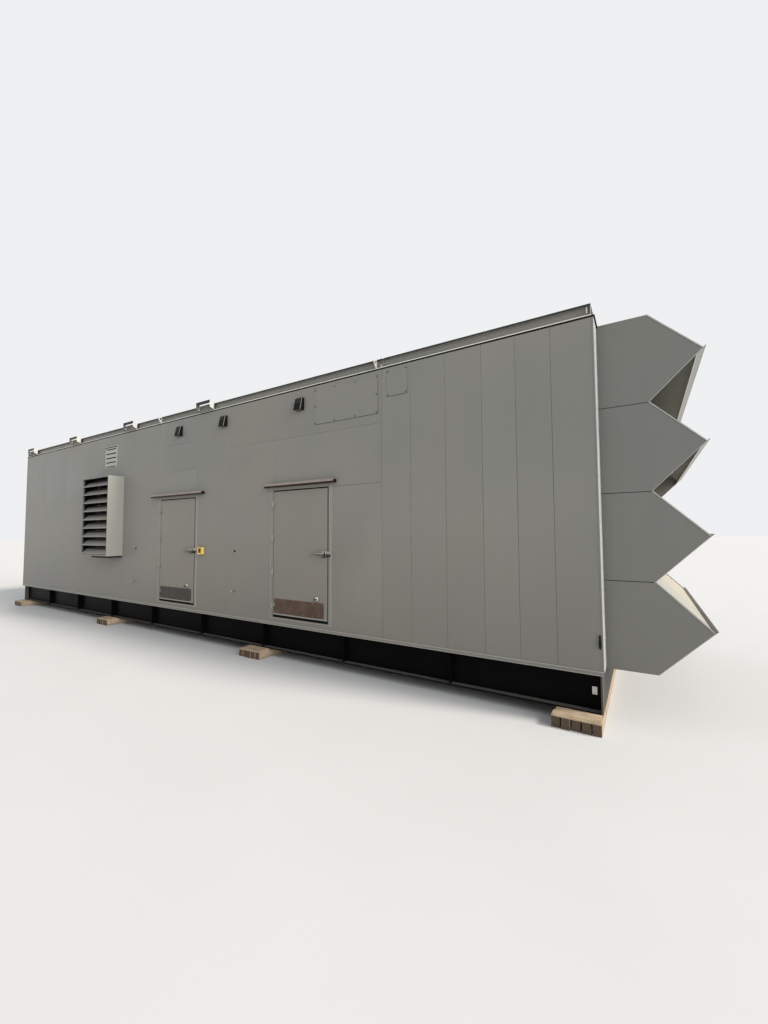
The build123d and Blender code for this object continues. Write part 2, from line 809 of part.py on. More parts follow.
# Lifting eyes, rings that stand on the rail's lower flange with a shank to its web
eye_middle = rail_top - eye_drop
eye_foot = wall_top + rail_flange
with BuildPart() as lifting_eyes:
    for place in eye_places.values():
        for outer, inward in ((wall_front, 1), (wall_rear, -1)):
            web_face = outer + inward * (rail_depth - rail_web)
            ring_y = outer - inward * (eye_reach - eye_radius)
            with BuildSketch(Plane.YZ.offset(wall_right - place - eye_plate / 2)):
                with BuildLine():
                    Polyline(
                        (ring_y - eye_shoulder, eye_middle - eye_shoulder_drop),
                        (ring_y + eye_shoulder, eye_middle - eye_shoulder_drop),
                        (outer + eye_foot_half_width, eye_foot),
                        (outer - eye_foot_half_width, eye_foot),
                        close=True,
                    )
                make_face()
                with Locations(((web_face + ring_y) / 2, eye_middle)):
                    Rectangle(abs(web_face - ring_y), eye_shank_height)
                with Locations((ring_y, eye_middle)):
                    Circle(eye_radius)
                    Circle(eye_hole_radius, mode=Mode.SUBTRACT)
            extrude(amount=eye_plate)
keep(lifting_eyes, "lifting_eyes")

# Corner angles and the drip edge round the foot of the walls
with BuildPart() as edge_trims:
    trim_z = (wall_base + drip_edge_height + trim_clearance, wall_top - trim_head_gap)
    for corner_x, along in ((wall_left, 1), (wall_right, -1)):
        outer_x = corner_x - along * trim_thickness
        leg_end_x = corner_x + along * trim_front_leg
        for corner_y, across in ((wall_front, 1), (wall_rear, -1)):
            outer_y = corner_y - across * trim_thickness
            leg_end_y = corner_y + across * trim_leg
            leg_x = (min(outer_x, leg_end_x), max(outer_x, leg_end_x))
            block(leg_x, (min(outer_y, corner_y), max(outer_y, corner_y)), trim_z)
            leg_y = (min(outer_y, leg_end_y), max(outer_y, leg_end_y))
            block((min(outer_x, corner_x), max(outer_x, corner_x)), leg_y, trim_z)
    for outer, outward in ((wall_front, -1), (wall_rear, 1)):
        with BuildSketch(Plane.YZ.offset(wall_left)):
            with BuildLine():
                Polyline(
                    (outer, wall_base),
                    (outer, wall_base + drip_edge_height),
                    (outer + outward * trim_thickness, wall_base + drip_edge_height),
                    (outer + outward * drip_edge_proud, wall_base + drip_edge_height / 2),
                    (outer + outward * drip_edge_proud, wall_base),
                    close=True,
                )
            make_face()
        extrude(amount=wall_length)
keep(edge_trims, "edge_trims")
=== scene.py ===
import math
import random

import bmesh
import bpy
from mathutils import Matrix, Vector


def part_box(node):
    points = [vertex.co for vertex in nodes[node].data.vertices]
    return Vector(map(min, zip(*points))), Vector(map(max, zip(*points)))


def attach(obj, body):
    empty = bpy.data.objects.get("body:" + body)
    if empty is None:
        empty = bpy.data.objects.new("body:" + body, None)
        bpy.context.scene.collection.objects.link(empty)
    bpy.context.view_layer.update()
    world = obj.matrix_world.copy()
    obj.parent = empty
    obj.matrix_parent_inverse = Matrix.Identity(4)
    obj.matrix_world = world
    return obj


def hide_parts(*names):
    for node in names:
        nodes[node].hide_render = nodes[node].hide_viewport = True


# The looks of a generator set's walk-in enclosure, in metres. X runs along it to the hoods, the doors are
# on the -Y side and Z is up.
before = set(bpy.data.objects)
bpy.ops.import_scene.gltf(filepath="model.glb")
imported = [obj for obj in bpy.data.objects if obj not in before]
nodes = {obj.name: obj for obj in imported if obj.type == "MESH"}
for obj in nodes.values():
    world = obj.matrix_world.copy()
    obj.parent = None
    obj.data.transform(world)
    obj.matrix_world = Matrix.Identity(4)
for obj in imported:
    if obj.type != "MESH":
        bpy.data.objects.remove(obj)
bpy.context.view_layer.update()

# Levels and faces of the enclosure, read from the frame
rear_low, rear_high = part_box("rear_wall")
wall_left, wall_right = rear_low.x, rear_high.x
wall_base, wall_top = rear_low.z, rear_high.z
wall_front, wall_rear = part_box("front_wall_right")[0].y, rear_high.y
wall_thickness = rear_high.y - rear_low.y
roof_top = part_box("roof")[1].z
wall_xs = (wall_left, wall_right)
LONG_WALLS = ((wall_front, 1), (wall_rear, -1))
DOOR_SIDES = ("left", "right")
DOOR_WIDTH, DOOR_PROUD = 1.218, 0.005
door_face = wall_front - DOOR_PROUD
TO_FRONT, UP = (0, -1, 0), (0, 0, 1)
SCREW_PITCH = 0.254


# Finishes

class Wire:
    """One socket in a finish's tree. Sums on it add Math nodes."""

    def __init__(self, finish, socket):
        self.finish = finish
        self.socket = socket

    def _maths(self, operation, first, second):
        return self.finish.node("Math", {"operation": operation}, {0: first, 1: second})

    def __add__(self, other):
        return self._maths("ADD", self, other)

    __radd__ = __add__

    def __sub__(self, other):
        return self._maths("SUBTRACT", self, other)

    def __rsub__(self, other):
        return self._maths("SUBTRACT", other, self)

    def __mul__(self, other):
        return self._maths("MULTIPLY", self, other)

    def __gt__(self, other):
        return self._maths("GREATER_THAN", self, other)

    def span(self, low, high, start=0.0, end=1.0):
        """Takes low and high to start and end, and stays there past them."""
        ends = {"Value": self, "From Min": low, "From Max": high, "To Min": start, "To Max": end}
        return self.finish.node("MapRange", {"clamp": True}, ends)

    def mix(self, first, second):
        """The first colour where this is 0, and the second where it is 1."""
        return self.finish.node("Mix", {"data_type": "RGBA"}, {0: self, 6: first, 7: second}, 2)


class Finish:
    """A material with one Principled shader, the nodes that drive it, and the slot of its pieces."""

    slots = {}

    def __init__(self, name, slot=None, shine=0.5):
        self.slots[name] = slot
        self.material = bpy.data.materials.new(name)
        self.material.use_nodes = True
        self.tree = self.material.node_tree
        self.tree.nodes.clear()
        self.shader = self.tree.nodes.new("ShaderNodeBsdfPrincipled")
        self.shader.inputs["Specular IOR Level"].default_value = shine
        output = self.tree.nodes.new("ShaderNodeOutputMaterial")
        self.tree.links.new(self.shader.outputs[0], output.inputs["Surface"])

    def feed(self, socket, value):
        if isinstance(value, Wire):
            self.tree.links.new(value.socket, socket)
        elif socket.type == "RGBA" and len(value) == 3:
            socket.default_value = (*value, 1.0)
        else:
            socket.default_value = value

    def node(self, kind, settings=None, inputs=None, output=0):
        made = self.tree.nodes.new("ShaderNode" + kind)
        for key, value in (settings or {}).items():
            if key == "stops":
                for _ in value[2:]:
                    made.color_ramp.elements.new(0.5)
                for element, (position, tint) in zip(made.color_ramp.elements, value):
                    element.position = position
                    element.color = (*tint, 1.0)
            else:
                setattr(made, key, value)
        for key, value in (inputs or {}).items():
            self.feed(made.inputs[key], value)
        return Wire(self, made.outputs[output])

    def place(self, stretch=(1, 1, 1), shift=None):
        """Where a point is on the object, stretched along each axis."""
        spot = self.node("TexCoord", output="Object")
        if shift is not None:
            spot = self.node("VectorMath", {"operation": "ADD"}, {0: spot, 1: shift})
        if stretch == (1, 1, 1):
            return spot
        return self.node("VectorMath", {"operation": "MULTIPLY"}, {0: spot, 1: stretch})

    def part(self, vector, axis):
        return self.node("SeparateXYZ", inputs={0: vector}, output=axis)

    def along(self, axis):
        return self.part(self.place(), axis)

    def height(self):
        return self.along("Z")

    def between(self, axis, low, high):
        """1 between two places along an axis, and 0 past them."""
        return (self.along(axis) > low) * (self.along(axis) * -1 > -high)

    def facing_up(self, none=0.78, full=0.97):
        """1 on level faces, falling to 0 as they tilt to a normal that rises by none."""
        return self.part(self.node("NewGeometry", output="Normal"), "Z").span(none, full)

    def noise(self, scale, detail=2.0, roughness=0.5, stretch=(1, 1, 1), shift=None, distortion=0.0):
        inputs = {"Vector": self.place(stretch, shift), "Scale": scale, "Detail": detail,
                  "Roughness": roughness, "Distortion": distortion}
        return self.node("TexNoise", inputs=inputs)

    def wave(self, kind, direction, vector, scale, distortion=0.0, detail_scale=1.0):
        settings = {"wave_type": kind, f"{kind.lower()}_direction": direction}
        inputs = {"Vector": vector, "Scale": scale, "Distortion": distortion, "Detail Scale": detail_scale}
        return self.node("TexWave", settings, inputs, "Fac")

    def tone(self):
        """The shade that a sheet or board was given, about 0."""
        return self.node("Attribute", {"attribute_name": "tone"}, output="Fac")

    def joined(self, x, y, z):
        return self.node("CombineXYZ", inputs={0: x, 1: y, 2: z})

    def shaded(self, colour, amount):
        return self.node("VectorMath", {"operation": "SCALE"}, {0: colour, "Scale": amount})

    def bump(self, height, distance, under=None):
        inputs = {"Height": height, "Distance": distance, "Strength": 1.0}
        if under is not None:
            inputs["Normal"] = under
        return self.node("Bump", inputs=inputs)

    def wear(self, colour, roughness, normal=None, metallic=None):
        """Connects what changes over the surface, and gives the material."""
        for socket, value in (("Base Color", colour), ("Roughness", roughness),
                              ("Normal", normal), ("Metallic", metallic)):
            if value is not None:
                self.feed(self.shader.inputs[socket], value)
        return self.material


DESERT_DUST = (0.46, 0.39, 0.285)
ROAD_GRIME = (0.085, 0.074, 0.062)
# Painted shade: the black that deepens inside the louvre, where light does not reach
DEEP_SHADE = (0.0035, 0.0035, 0.0035)
# Painted shadow: the tone of the shade on the wall under the louvre casing
SHADOW_TONE = (0.052, 0.049, 0.043)
# Painted shade: the dark undersides of the latch, lever and catch
LATCH_SHADE = (0.020, 0.017, 0.014)


def enamel(name, colour, gloss, dust_on_top, splash=0.0, dusty_slopes=False, sooty=None, stained=None,
           slot="grey_paint"):
    """Sprayed paint on sheet: shade drift, rain streaks, dust on level faces, grime round the foot.
    For painted shade deep in the louvre, an argument gives the places along Y between which it darkens to
    black, and the spans along X and Z that hold it.
    For a painted shadow on the wall below the louvre, an argument gives its span along X, and the two heights
    between which it darkens."""
    finish = Finish(name, slot, shine=0.13)
    drift = finish.noise(0.35, 2, shift=(3.1, 0, 0))
    streaks = finish.noise(1.0, 3, 0.6, stretch=(6, 6, 0.22))
    fine = finish.noise(45, 3, 0.6)
    tone = 0.845 + drift * 0.21 + streaks * 0.05 + fine * 0.03 + finish.tone() * 0.07
    low = finish.height().span(wall_base + 0.02, wall_base + 1.75, 1.0, 0.0)
    grime = low * splash * streaks.span(0.3, 0.7, 0.75, 1.0)
    upward = finish.facing_up(0.45, 0.7) if dusty_slopes else finish.facing_up()
    settled = upward * finish.noise(3.0, 4, 0.6).span(0.3, 0.7, 0.65, 1.0) * dust_on_top
    dust = settled.span(0.0, 1.0)
    clay = tuple(value * factor for value, factor in zip(colour, (1.03, 0.99, 0.94)))
    tinted = drift.span(0.35, 0.65).mix(colour, clay)
    grimy = grime.mix(finish.shaded(tinted, tone), ROAD_GRIME)
    base = dust.mix(grimy, finish.shaded(DESERT_DUST, 0.85 + fine * 0.3))
    # Painted shadow: a dark patch on the wall below the louvre casing
    if stained is not None:
        (west, east), (thin, thick) = stained
        x, z = finish.along("X"), finish.height()
        patch = x.span(west, west + 0.45) * x.span(east - 0.16, east, 1.0, 0.0)
        patch = patch * z.span(thin, thick) * (z * -1 > -thick - 0.12)
        base = (patch * 0.62).mix(base, SHADOW_TONE)
    # Painted shade: darkens to black with depth inside the louvre
    if sooty is not None:
        (clean, black), xs, zs = sooty
        depth = (finish.along("Y") + fine * 0.02).span(clean, black)
        base = (depth * (finish.between("X", *xs) * finish.between("Z", *zs))).mix(base, DEEP_SHADE)
    roughness = (drift * 0.5 + fine * 0.5).span(0.3, 0.7, gloss - 0.05, gloss + 0.06) + dust * 0.4
    waves = finish.bump(finish.noise(1.6, 1, 0.4, stretch=(1, 1, 0.6), shift=(0, 7.7, 0)), 0.0035)
    return finish.wear(base, roughness, finish.bump(finish.noise(240, 1), 0.00008, under=waves))


def black_skid_enamel(name, film_depth):
    """Black paint on rolled steel, with dust on the flanges and pale scuffs; the black is darker than paint
    as painted shade, and the film at its thickest is a painted reflection of the sunlit ground.
    """
    finish = Finish(name, "black_paint", shine=0.025)
    drift = finish.noise(1.4, 3)
    fine = finish.noise(70, 4, 0.65)
    runs = finish.noise(1.0, 3, 0.6, stretch=(9, 9, 0.7))
    settled = finish.facing_up() * fine.span(0.25, 0.65, 0.35, 0.75)
    film = runs.span(0.30, 0.75, film_depth * 0.6, film_depth)
    dust = (settled + film).span(0.0, 1.0)
    scuffs = finish.noise(26, 5, 0.75, stretch=(0.35, 1, 1)).span(0.66, 0.72)
    # Painted shade: black darker than paint
    paint = finish.shaded((0.0020, 0.0020, 0.0022), 0.7 + drift * 0.6)
    dusty = dust.mix(paint, (0.165, 0.155, 0.135))
    base = (scuffs * 0.3).mix(dusty, (0.045, 0.042, 0.040))
    roughness = drift.span(0.3, 0.7, 0.30, 0.42) + dust * 0.4
    return finish.wear(base, roughness, finish.bump(finish.noise(150, 3, 0.6), 0.0006))


ALONG_GRAIN, ACROSS_GRAIN = 1.1, 34


def sawn_timber(name, pale, dark, dirt, run=(ACROSS_GRAIN, ALONG_GRAIN, ACROSS_GRAIN)):
    """Rough sawn softwood: grain stretched by run, saw marks, knots and trodden dirt."""
    finish = Finish(name, "timber")
    knots_run = tuple(3.2 if value == ACROSS_GRAIN else 1.3 for value in run)
    fibre_run = tuple(value * (7.6 if value == ACROSS_GRAIN else 5.5) for value in run)
    tone = finish.tone()
    jump = finish.joined(tone * 31.0, tone * 17.0, tone * 23.0)
    rings = finish.noise(1.0, 3, 0.55, stretch=run, shift=jump, distortion=0.6)
    fibre = finish.noise(1.0, 4, 0.7, stretch=fibre_run, shift=jump)
    lengthwise = "XYZ"[run.index(ALONG_GRAIN)]
    saw = finish.wave("BANDS", lengthwise, finish.place(shift=jump), 28.0, 2.2, 1.5)
    knot = finish.node("TexVoronoi", {"feature": "F1"},
                       {"Vector": finish.place(knots_run, jump), "Scale": 1.0}, "Distance")
    knots = knot.span(0.07, 0.16, 1.0, 0.0)
    stops = ((0.0, dark), (0.42, pale), (0.62, tuple(value * 0.86 for value in pale)), (1.0, pale))
    grain = finish.node("ValToRGB", {"stops": stops}, {"Fac": rings.span(0.32, 0.68)})
    shade = 0.80 + fibre * 0.30 + saw * 0.06 + tone * 0.22
    wood = (knots * 0.75).mix(finish.shaded(grain, shade), tuple(value * 0.42 for value in dark))
    grime = finish.noise(7, 5, 0.7).span(0.46, 0.70) * dirt
    low = finish.height().span(0.0, 0.055, 0.75, 0.0)
    base = (grime + low * dirt).span(0, 1).mix(wood, (0.135, 0.10, 0.07))
    rough = finish.bump(fibre * 0.6 + saw * 0.5 + rings * 0.5, 0.0016)
    return finish.wear(base, fibre.span(0.2, 0.8, 0.72, 0.92), rough)


def end_grain():
    """The sawn ends of the timbers: arcs of rings, radial checks and dirt."""
    finish = Finish("timber_end_grain")
    tone = finish.tone()
    jump = finish.joined(tone * 0.9, 0.0, tone * 1.7)
    arcs = finish.wave("RINGS", "Y", finish.place(shift=jump), 22.0, 3.0, 1.2)
    speck = finish.noise(120, 4, 0.7)
    checks = finish.noise(1.0, 3, 0.6, stretch=(9, 1, 60), shift=jump).span(0.60, 0.66)
    wood = arcs.mix((0.062, 0.040, 0.024), (0.115, 0.078, 0.048))
    worn = (checks * 0.8).mix(finish.shaded(wood, 0.65 + speck * 0.6), (0.03, 0.02, 0.014))
    relief = finish.bump(arcs * 0.6 + speck * 0.6 - checks, 0.0022)
    return finish.wear(worn, speck.span(0.2, 0.8, 0.78, 0.95), relief)


def steel(name, colour, brush, low, high, greasy=None, blotches=0.38, slot="stainless"):
    """Stainless steel with a brushed grain, smears and a film of dust on level faces.
    For painted shade on the underside, an argument gives the two heights between which that darkness thins
    out upwards."""
    finish = Finish(name, slot)
    lines = finish.noise(1.0, 3, 0.7, stretch=brush)
    smears = finish.noise(5.0, 4, 0.65, distortion=0.8)
    settled = finish.facing_up() * 0.55
    metal = finish.shaded(colour, 0.89 + lines * 0.22 + (smears - 0.5) * blotches)
    # Painted shade: darker below the given heights
    if greasy is not None:
        underside_shade = (finish.height() + smears * 0.006).span(*greasy, 0.80, 0.0)
        metal = underside_shade.mix(metal, LATCH_SHADE)
    base = settled.mix(metal, DESERT_DUST)
    roughness = (smears * 0.25 + lines * 0.75).span(0.3, 0.7, low, high) + settled * 0.4
    return finish.wear(base, roughness, finish.bump(lines, 0.0002), 1 - settled)


def cast(name, colour, gloss, scratch, shine=0.5, slot=None):
    """Moulded or powder-coated stuff: a pebbled skin with rubbed lighter places."""
    finish = Finish(name, slot, shine)
    pebble = finish.noise(420, 2)
    rubbed = finish.noise(24, 4, 0.7).span(0.50, 0.74)
    dusty = finish.facing_up() * 0.4
    paler = tuple(min(1.0, value * 1.6 + 0.02) for value in colour)
    skin = (rubbed * scratch).mix(finish.shaded(colour, 0.88 + pebble * 0.24), paler)
    roughness = rubbed.span(0, 1, gloss, gloss + 0.16) + dusty * 0.3
    return finish.wear(dusty.mix(skin, DESERT_DUST), roughness, finish.bump(pebble, 0.0003))


def lamp_glass():
    """The lamps' dark prismatic lens: fine ribs under a glossy skin."""
    finish = Finish("lamp_glass", shine=0.05)
    ribs = finish.wave("BANDS", "X", finish.place(), 26.0)
    film = finish.noise(30, 4, 0.6)
    base = (film * 0.5).mix((0.004, 0.004, 0.004), (0.012, 0.012, 0.011))
    return finish.wear(base, film.span(0.2, 0.8, 0.26, 0.44), finish.bump(ribs, 0.0012))


def tread_plate():
    """Painted steel floor plate with raised bars that cross in turn, rubbed bright in places."""
    finish = Finish("tread_plate")
    spot = finish.place((34, 34, 34))
    across, along = finish.part(spot, "X"), finish.part(spot, "Y")
    turn = {"operation": "SINE"}
    one_way = finish.node("Math", turn, {0: (across + along) * 1.4})
    other_way = finish.node("Math", turn, {0: (across - along) * 1.4})
    bars = (one_way * other_way).span(0.45, 0.8)
    scuffed = finish.noise(9, 5, 0.7).span(0.45, 0.7)
    worn = (bars * scuffed * 0.6).mix((0.20, 0.20, 0.195), (0.42, 0.41, 0.39))
    base = finish.shaded(worn, 0.8 + finish.noise(60, 3) * 0.4)
    return finish.wear(base, scuffed.span(0, 1, 0.52, 0.34), finish.bump(bars, 0.0018))


def rubber(name, colour, bloom=0.16):
    """Black rubber or sealant, chalky in places. Some pieces use it as the black of a painted shadow."""
    finish = Finish(name, shine=0.08)
    fine = finish.noise(190, 3, 0.7)
    chalk = finish.noise(14, 4, 0.65).span(0.4, 0.75, 0.0, bloom) + finish.facing_up() * 0.3
    base = chalk.span(0, 1).mix(finish.shaded(colour, 0.7 + fine * 0.6), (0.13, 0.12, 0.10))
    return finish.wear(base, fine.span(0.2, 0.8, 0.62, 0.85), finish.bump(fine, 0.0004))


# Enamels: colour, gloss, dust on level faces, and grime round the foot
ENCLOSURE_GREY = (0.236, 0.234, 0.215)
grey_enamel = enamel("grey_enclosure_enamel", ENCLOSURE_GREY, 0.34, 0.55, 0.30)
roof_enamel = enamel("grey_roof_enamel", ENCLOSURE_GREY, 0.36, 0.34)
hood_enamel = enamel("grey_hood_enamel", ENCLOSURE_GREY, 0.36, 0.55, 0.06)
# The hood sides are a darker grey as painted shade
hood_side_shade_enamel = enamel("grey_hood_side_enamel", (0.200, 0.199, 0.184), 0.36, 0.55, 0.10)
# The hood undersides are a paler, greener grey as painted bounce light
hood_under_lit_enamel = enamel("grey_hood_underside_enamel", (0.290, 0.315, 0.312), 0.46, 0.30)
# The hood tops' paler colour is painted sunlight, over dust on the slopes
hood_top_enamel = enamel("dusty_hood_top_enamel", (0.30, 0.295, 0.265), 0.40, 0.55, dusty_slopes=True)
front_sheet_enamel = enamel("washed_hood_top_enamel", (0.285, 0.282, 0.252), 0.36, 0.18, dusty_slopes=True)
# Pale enamel for the hoods' edge beads: painted highlights
hood_bead_enamel = enamel("hood_bead_enamel", (0.47, 0.475, 0.455), 0.38, 0.15)
door_enamel = enamel("grey_door_enamel", (0.236, 0.230, 0.205), 0.30, 0.45, 0.24)
# Pale enamel for edges and faces that catch the light: painted sunlight
sunlit_pale_enamel = enamel("pale_bracket_enamel", (0.46, 0.455, 0.43), 0.36, 0.25)
# White for bars at the bracket edges: painted highlights
highlight_bar_enamel = enamel("white_bracket_bar_enamel", (0.88, 0.88, 0.86), 0.34, 0.10)
# Near black for the bracket frames: painted shade inside them
bracket_shade_enamel = enamel("grey_bracket_enamel", (0.095, 0.097, 0.094), 0.40, 0.25)
# Bright enamel for the rail's lip: painted highlight
edge_highlight_enamel = enamel("bright_edge_enamel", (0.70, 0.70, 0.67), 0.34, 0.15)
# Pale for the corner strips: painted sunlight at the right-hand end
sunlit_corner_enamel = enamel("pale_corner_strip_enamel", (0.375, 0.380, 0.370), 0.38, 0.25)
# Pale for the foot hems and the door sweeps: painted highlights
highlight_trim_enamel = enamel("pale_trim_enamel", (0.34, 0.335, 0.31), 0.34, 0.25)
# Dark enamel: on the rail ends as painted shade, and on the cover screws
shade_enamel = enamel("dark_rail_end_enamel", (0.070, 0.075, 0.077), 0.42, 0.10)
# Slate for the rail's top edge and the bracket noses: painted shade
slate_shade_enamel = enamel("slate_rail_edge_enamel", (0.030, 0.033, 0.037), 0.42, 0.10)
# Near black for the wall cores and the room's inside: dark joints, and painted shade in the room
core_and_room_shade = enamel("charcoal_acoustic_lining", (0.032, 0.032, 0.033), 0.75, 0.10)
vent_enamel = enamel("vent_plate_enamel", (0.42, 0.42, 0.385), 0.40, 0.40, slot="bare_aluminium")
# The skid's black is darker than paint as painted shade
skid_black = black_skid_enamel("black_skid_enamel", 0.008)
skid_end_reflection = black_skid_enamel("dusty_skid_end_enamel", 0.62)
crib_wood = sawn_timber("crib_timber", (0.43, 0.315, 0.205), (0.25, 0.16, 0.09), 0.55)
board_wood = sawn_timber("packing_board", (0.54, 0.41, 0.275), (0.26, 0.165, 0.09), 0.5,
                         run=(ALONG_GRAIN, ACROSS_GRAIN, ACROSS_GRAIN))
crib_ends = end_grain()

# Steels: colour, how fine the brushed grain is along each axis, and the least and most roughness
UPRIGHT, LENGTHWISE, SATIN = (220, 220, 14), (18, 220, 220), (90, 90, 90)
CAP_GRAIN, KICK_GRAIN = (8, 300, 300), (10, 10, 420)
LATCH_LEVEL, CATCH_LEVEL = wall_base + 1.246, wall_base + 0.514
# Heights over which the undersides of the latch, lever and catch darken as painted shade
LATCH_SHADE_LEVELS = (LATCH_LEVEL - 0.012, LATCH_LEVEL + 0.016)
CATCH_SHADE_LEVELS = (CATCH_LEVEL - 0.022, CATCH_LEVEL + 0.004)
hardware_steel = steel("hardware_stainless", (0.46, 0.445, 0.42), UPRIGHT, 0.22, 0.38)
hinge_steel = steel("hinge_stainless", (0.40, 0.39, 0.37), UPRIGHT, 0.30, 0.46)
# The lever's steel is darker than the latch's as painted shade
latch_steel = steel("greasy_latch_steel", (0.47, 0.45, 0.42), UPRIGHT, 0.24, 0.40, LATCH_SHADE_LEVELS)
lever_steel = steel("lever_worn_steel", (0.30, 0.28, 0.255), LENGTHWISE, 0.26, 0.42, LATCH_SHADE_LEVELS)
catch_steel = steel("greasy_catch_steel", (0.74, 0.73, 0.69), SATIN, 0.30, 0.46, CATCH_SHADE_LEVELS)
zinc = steel("zinc_plated_steel", (0.50, 0.495, 0.475), SATIN, 0.34, 0.52)
dull_screw = steel("dull_screw_steel", (0.21, 0.205, 0.195), SATIN, 0.36, 0.55)
# The drip cap's dark face and hem are painted shade, and the kick plates' dark brown is a painted reflection
# of the ground
cap_steel, cap_face_shade_steel, cap_shade_steel, *kick_steels = (
    steel(name, colour, brush, low, high, blotches=blotches, slot="stainless_trim")
    for name, colour, brush, low, high, blotches in (
        ("drip_cap_stainless", (0.31, 0.262, 0.235), CAP_GRAIN, 0.24, 0.40, 0.38),
        ("drip_cap_browned_face", (0.055, 0.036, 0.029), CAP_GRAIN, 0.24, 0.40, 0.38),
        ("drip_cap_dark_hem", (0.022, 0.014, 0.011), CAP_GRAIN, 0.30, 0.46, 0.38),
        ("scuffed_kick_plate", (0.058, 0.052, 0.047), KICK_GRAIN, 0.18, 0.30, 0.9),
        ("kick_plate_stainless", (0.104, 0.070, 0.060), KICK_GRAIN, 0.13, 0.24, 1.1)))

# Cast stuff: colour, gloss, how far its skin is rubbed, and shine
lock_yellow = cast("yellow_lock_enamel", (0.70, 0.50, 0.105), 0.30, 0.35, slot="yellow_lock")
# Brown for the lock's pocket and shackle: painted shade inside the pocket
lock_pocket_shade = cast("lock_pocket_brown", (0.24, 0.108, 0.012), 0.55, 0.10, 0.1)
lamp_bronze = cast("lamp_dark_bronze", (0.006, 0.0055, 0.005), 0.45, 0.10, 0.08, "dark_bronze")
rib_bronze = cast("lamp_rib_bronze", (0.034, 0.032, 0.027), 0.45, 0.10, 0.08, "dark_bronze")
# Grey for the strips down the lights' edges: painted highlights
lamp_highlight = cast("lamp_edge_grey", (0.27, 0.265, 0.24), 0.45, 0.10, 0.2)
lens_grey = cast("lamp_underside_lens", (0.095, 0.094, 0.088), 0.30, 0.10)
wire_black = cast("black_wire_coating", (0.006, 0.006, 0.006), 0.50, 0.10, 0.2)
lens_glass = lamp_glass()
floor_tread = tread_plate()
black_rubber = rubber("black_rubber", (0.0035, 0.0035, 0.0035))
joint_black = rubber("joint_sealant", (0.006, 0.006, 0.006))
# Near black rubber for the door seals and threshold, and the black of the painted shadow round the leaf
seal_and_shadow_black = rubber("door_seal_rubber", (0.0025, 0.0025, 0.0025), 0.02)


# Workshop: where things are, and what the pieces are cut, folded and turned with

def side_of(face, way, order=(0, 1, 2)):
    """A side of the enclosure: turns distances along it, out of its face and up it into a point."""
    def side(along, out, up):
        distances = (along, face + way * out, up)
        return Vector([distances[index] for index in order])
    return side


front, rear = side_of(wall_front, -1), side_of(wall_rear, 1)
left_end, right_end = side_of(wall_left, -1, (1, 0, 2)), side_of(wall_right, 1, (1, 0, 2))
on_roof = side_of(roof_top, 1, (0, 2, 1))


def along_x(across, up, distance):
    return Vector((distance, across, up))


def along_y(across, up, distance):
    return Vector((across, distance, up))


def from_right(distance):
    """A place along the front, measured from the right-hand corner."""
    return wall_right - distance


def above_base(distance):
    return wall_base + distance


def around(middle, half):
    return middle - half, middle + half


def pairs(values):
    return zip(values, values[1:])


def evenly(start, end, count):
    return [start + (end - start) * index / (count - 1) for index in range(count)]


def pitched(start, end, pitch=SCREW_PITCH):
    """Places a pitch apart, from start to just short of end."""
    return [start + index * pitch for index in range(math.ceil((end - start) / pitch))]


def inset(spans, by):
    return tuple((low + by, high - by) for low, high in spans)


def outline_of(node):
    """The node's spans along X and Z."""
    low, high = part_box(node)
    return (low.x, high.x), (low.z, high.z)


def both_walls(xs, depths, zs, walls=LONG_WALLS):
    """The same box at two faces that look away from each other, from its distances inward."""
    return [(xs, sorted(face + inward * depth for depth in depths), zs) for face, inward in walls]


def bevel(bm, edges, width, rounds):
    bmesh.ops.bevel(bm, geom=edges, offset=width, segments=rounds, profile=0.5, affect="EDGES",
                    clamp_overlap=True)


# The angles from which an edge is rounded or kept crisp, and within which faces count as one
ROUNDED_FROM, CREASED_FROM, FLAT_WITHIN = (math.radians(angle) for angle in (32, 50, 0.6))
WELD_DISTANCE = 0.00002


def finish_piece(name, bm, finish, body="enclosure", slot="of the finish", edge=0.0, rounds=2, smooth=False,
                 ends=None, replaces=()):
    """Rounds the sharp edges of a mesh, gives it its finish and lets it ride on its body, or on none. Ends
    names a second finish and the axis whose faces take it."""
    bmesh.ops.recalc_face_normals(bm, faces=bm.faces)
    if edge:
        sharp = [e for e in bm.edges if len(e.link_faces) == 2 and e.calc_face_angle(0.0) > ROUNDED_FROM]
        bevel(bm, sharp, edge, rounds)
    mesh = bpy.data.meshes.new(name)
    bm.to_mesh(mesh)
    bm.free()
    mesh.materials.append(finish)
    if ends is not None:
        mesh.materials.append(ends[0])
        for face in mesh.polygons:
            face.material_index = int(abs(face.normal[ends[1]]) > 0.8)
    made = bpy.data.objects.new(name, mesh)
    bpy.context.scene.collection.objects.link(made)
    if edge or smooth:
        mesh.shade_smooth()
        mesh.set_sharp_from_angle(angle=CREASED_FROM)
        weighted = made.modifiers.new("even shading", "WEIGHTED_NORMAL")
        weighted.keep_sharp = True
    if body is None:
        return made
    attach(made, body)
    if slot == "of the finish":
        slot = Finish.slots[finish.name]
    if replaces:
        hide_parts(*replaces)
    return made


def piece(name, finish, maker, *rows, **how):
    """A piece made up of like parts: each row is what the maker is given for one."""
    bm = bmesh.new()
    for row in rows:
        maker(bm, *row)
    return finish_piece(name, bm, finish, **how)


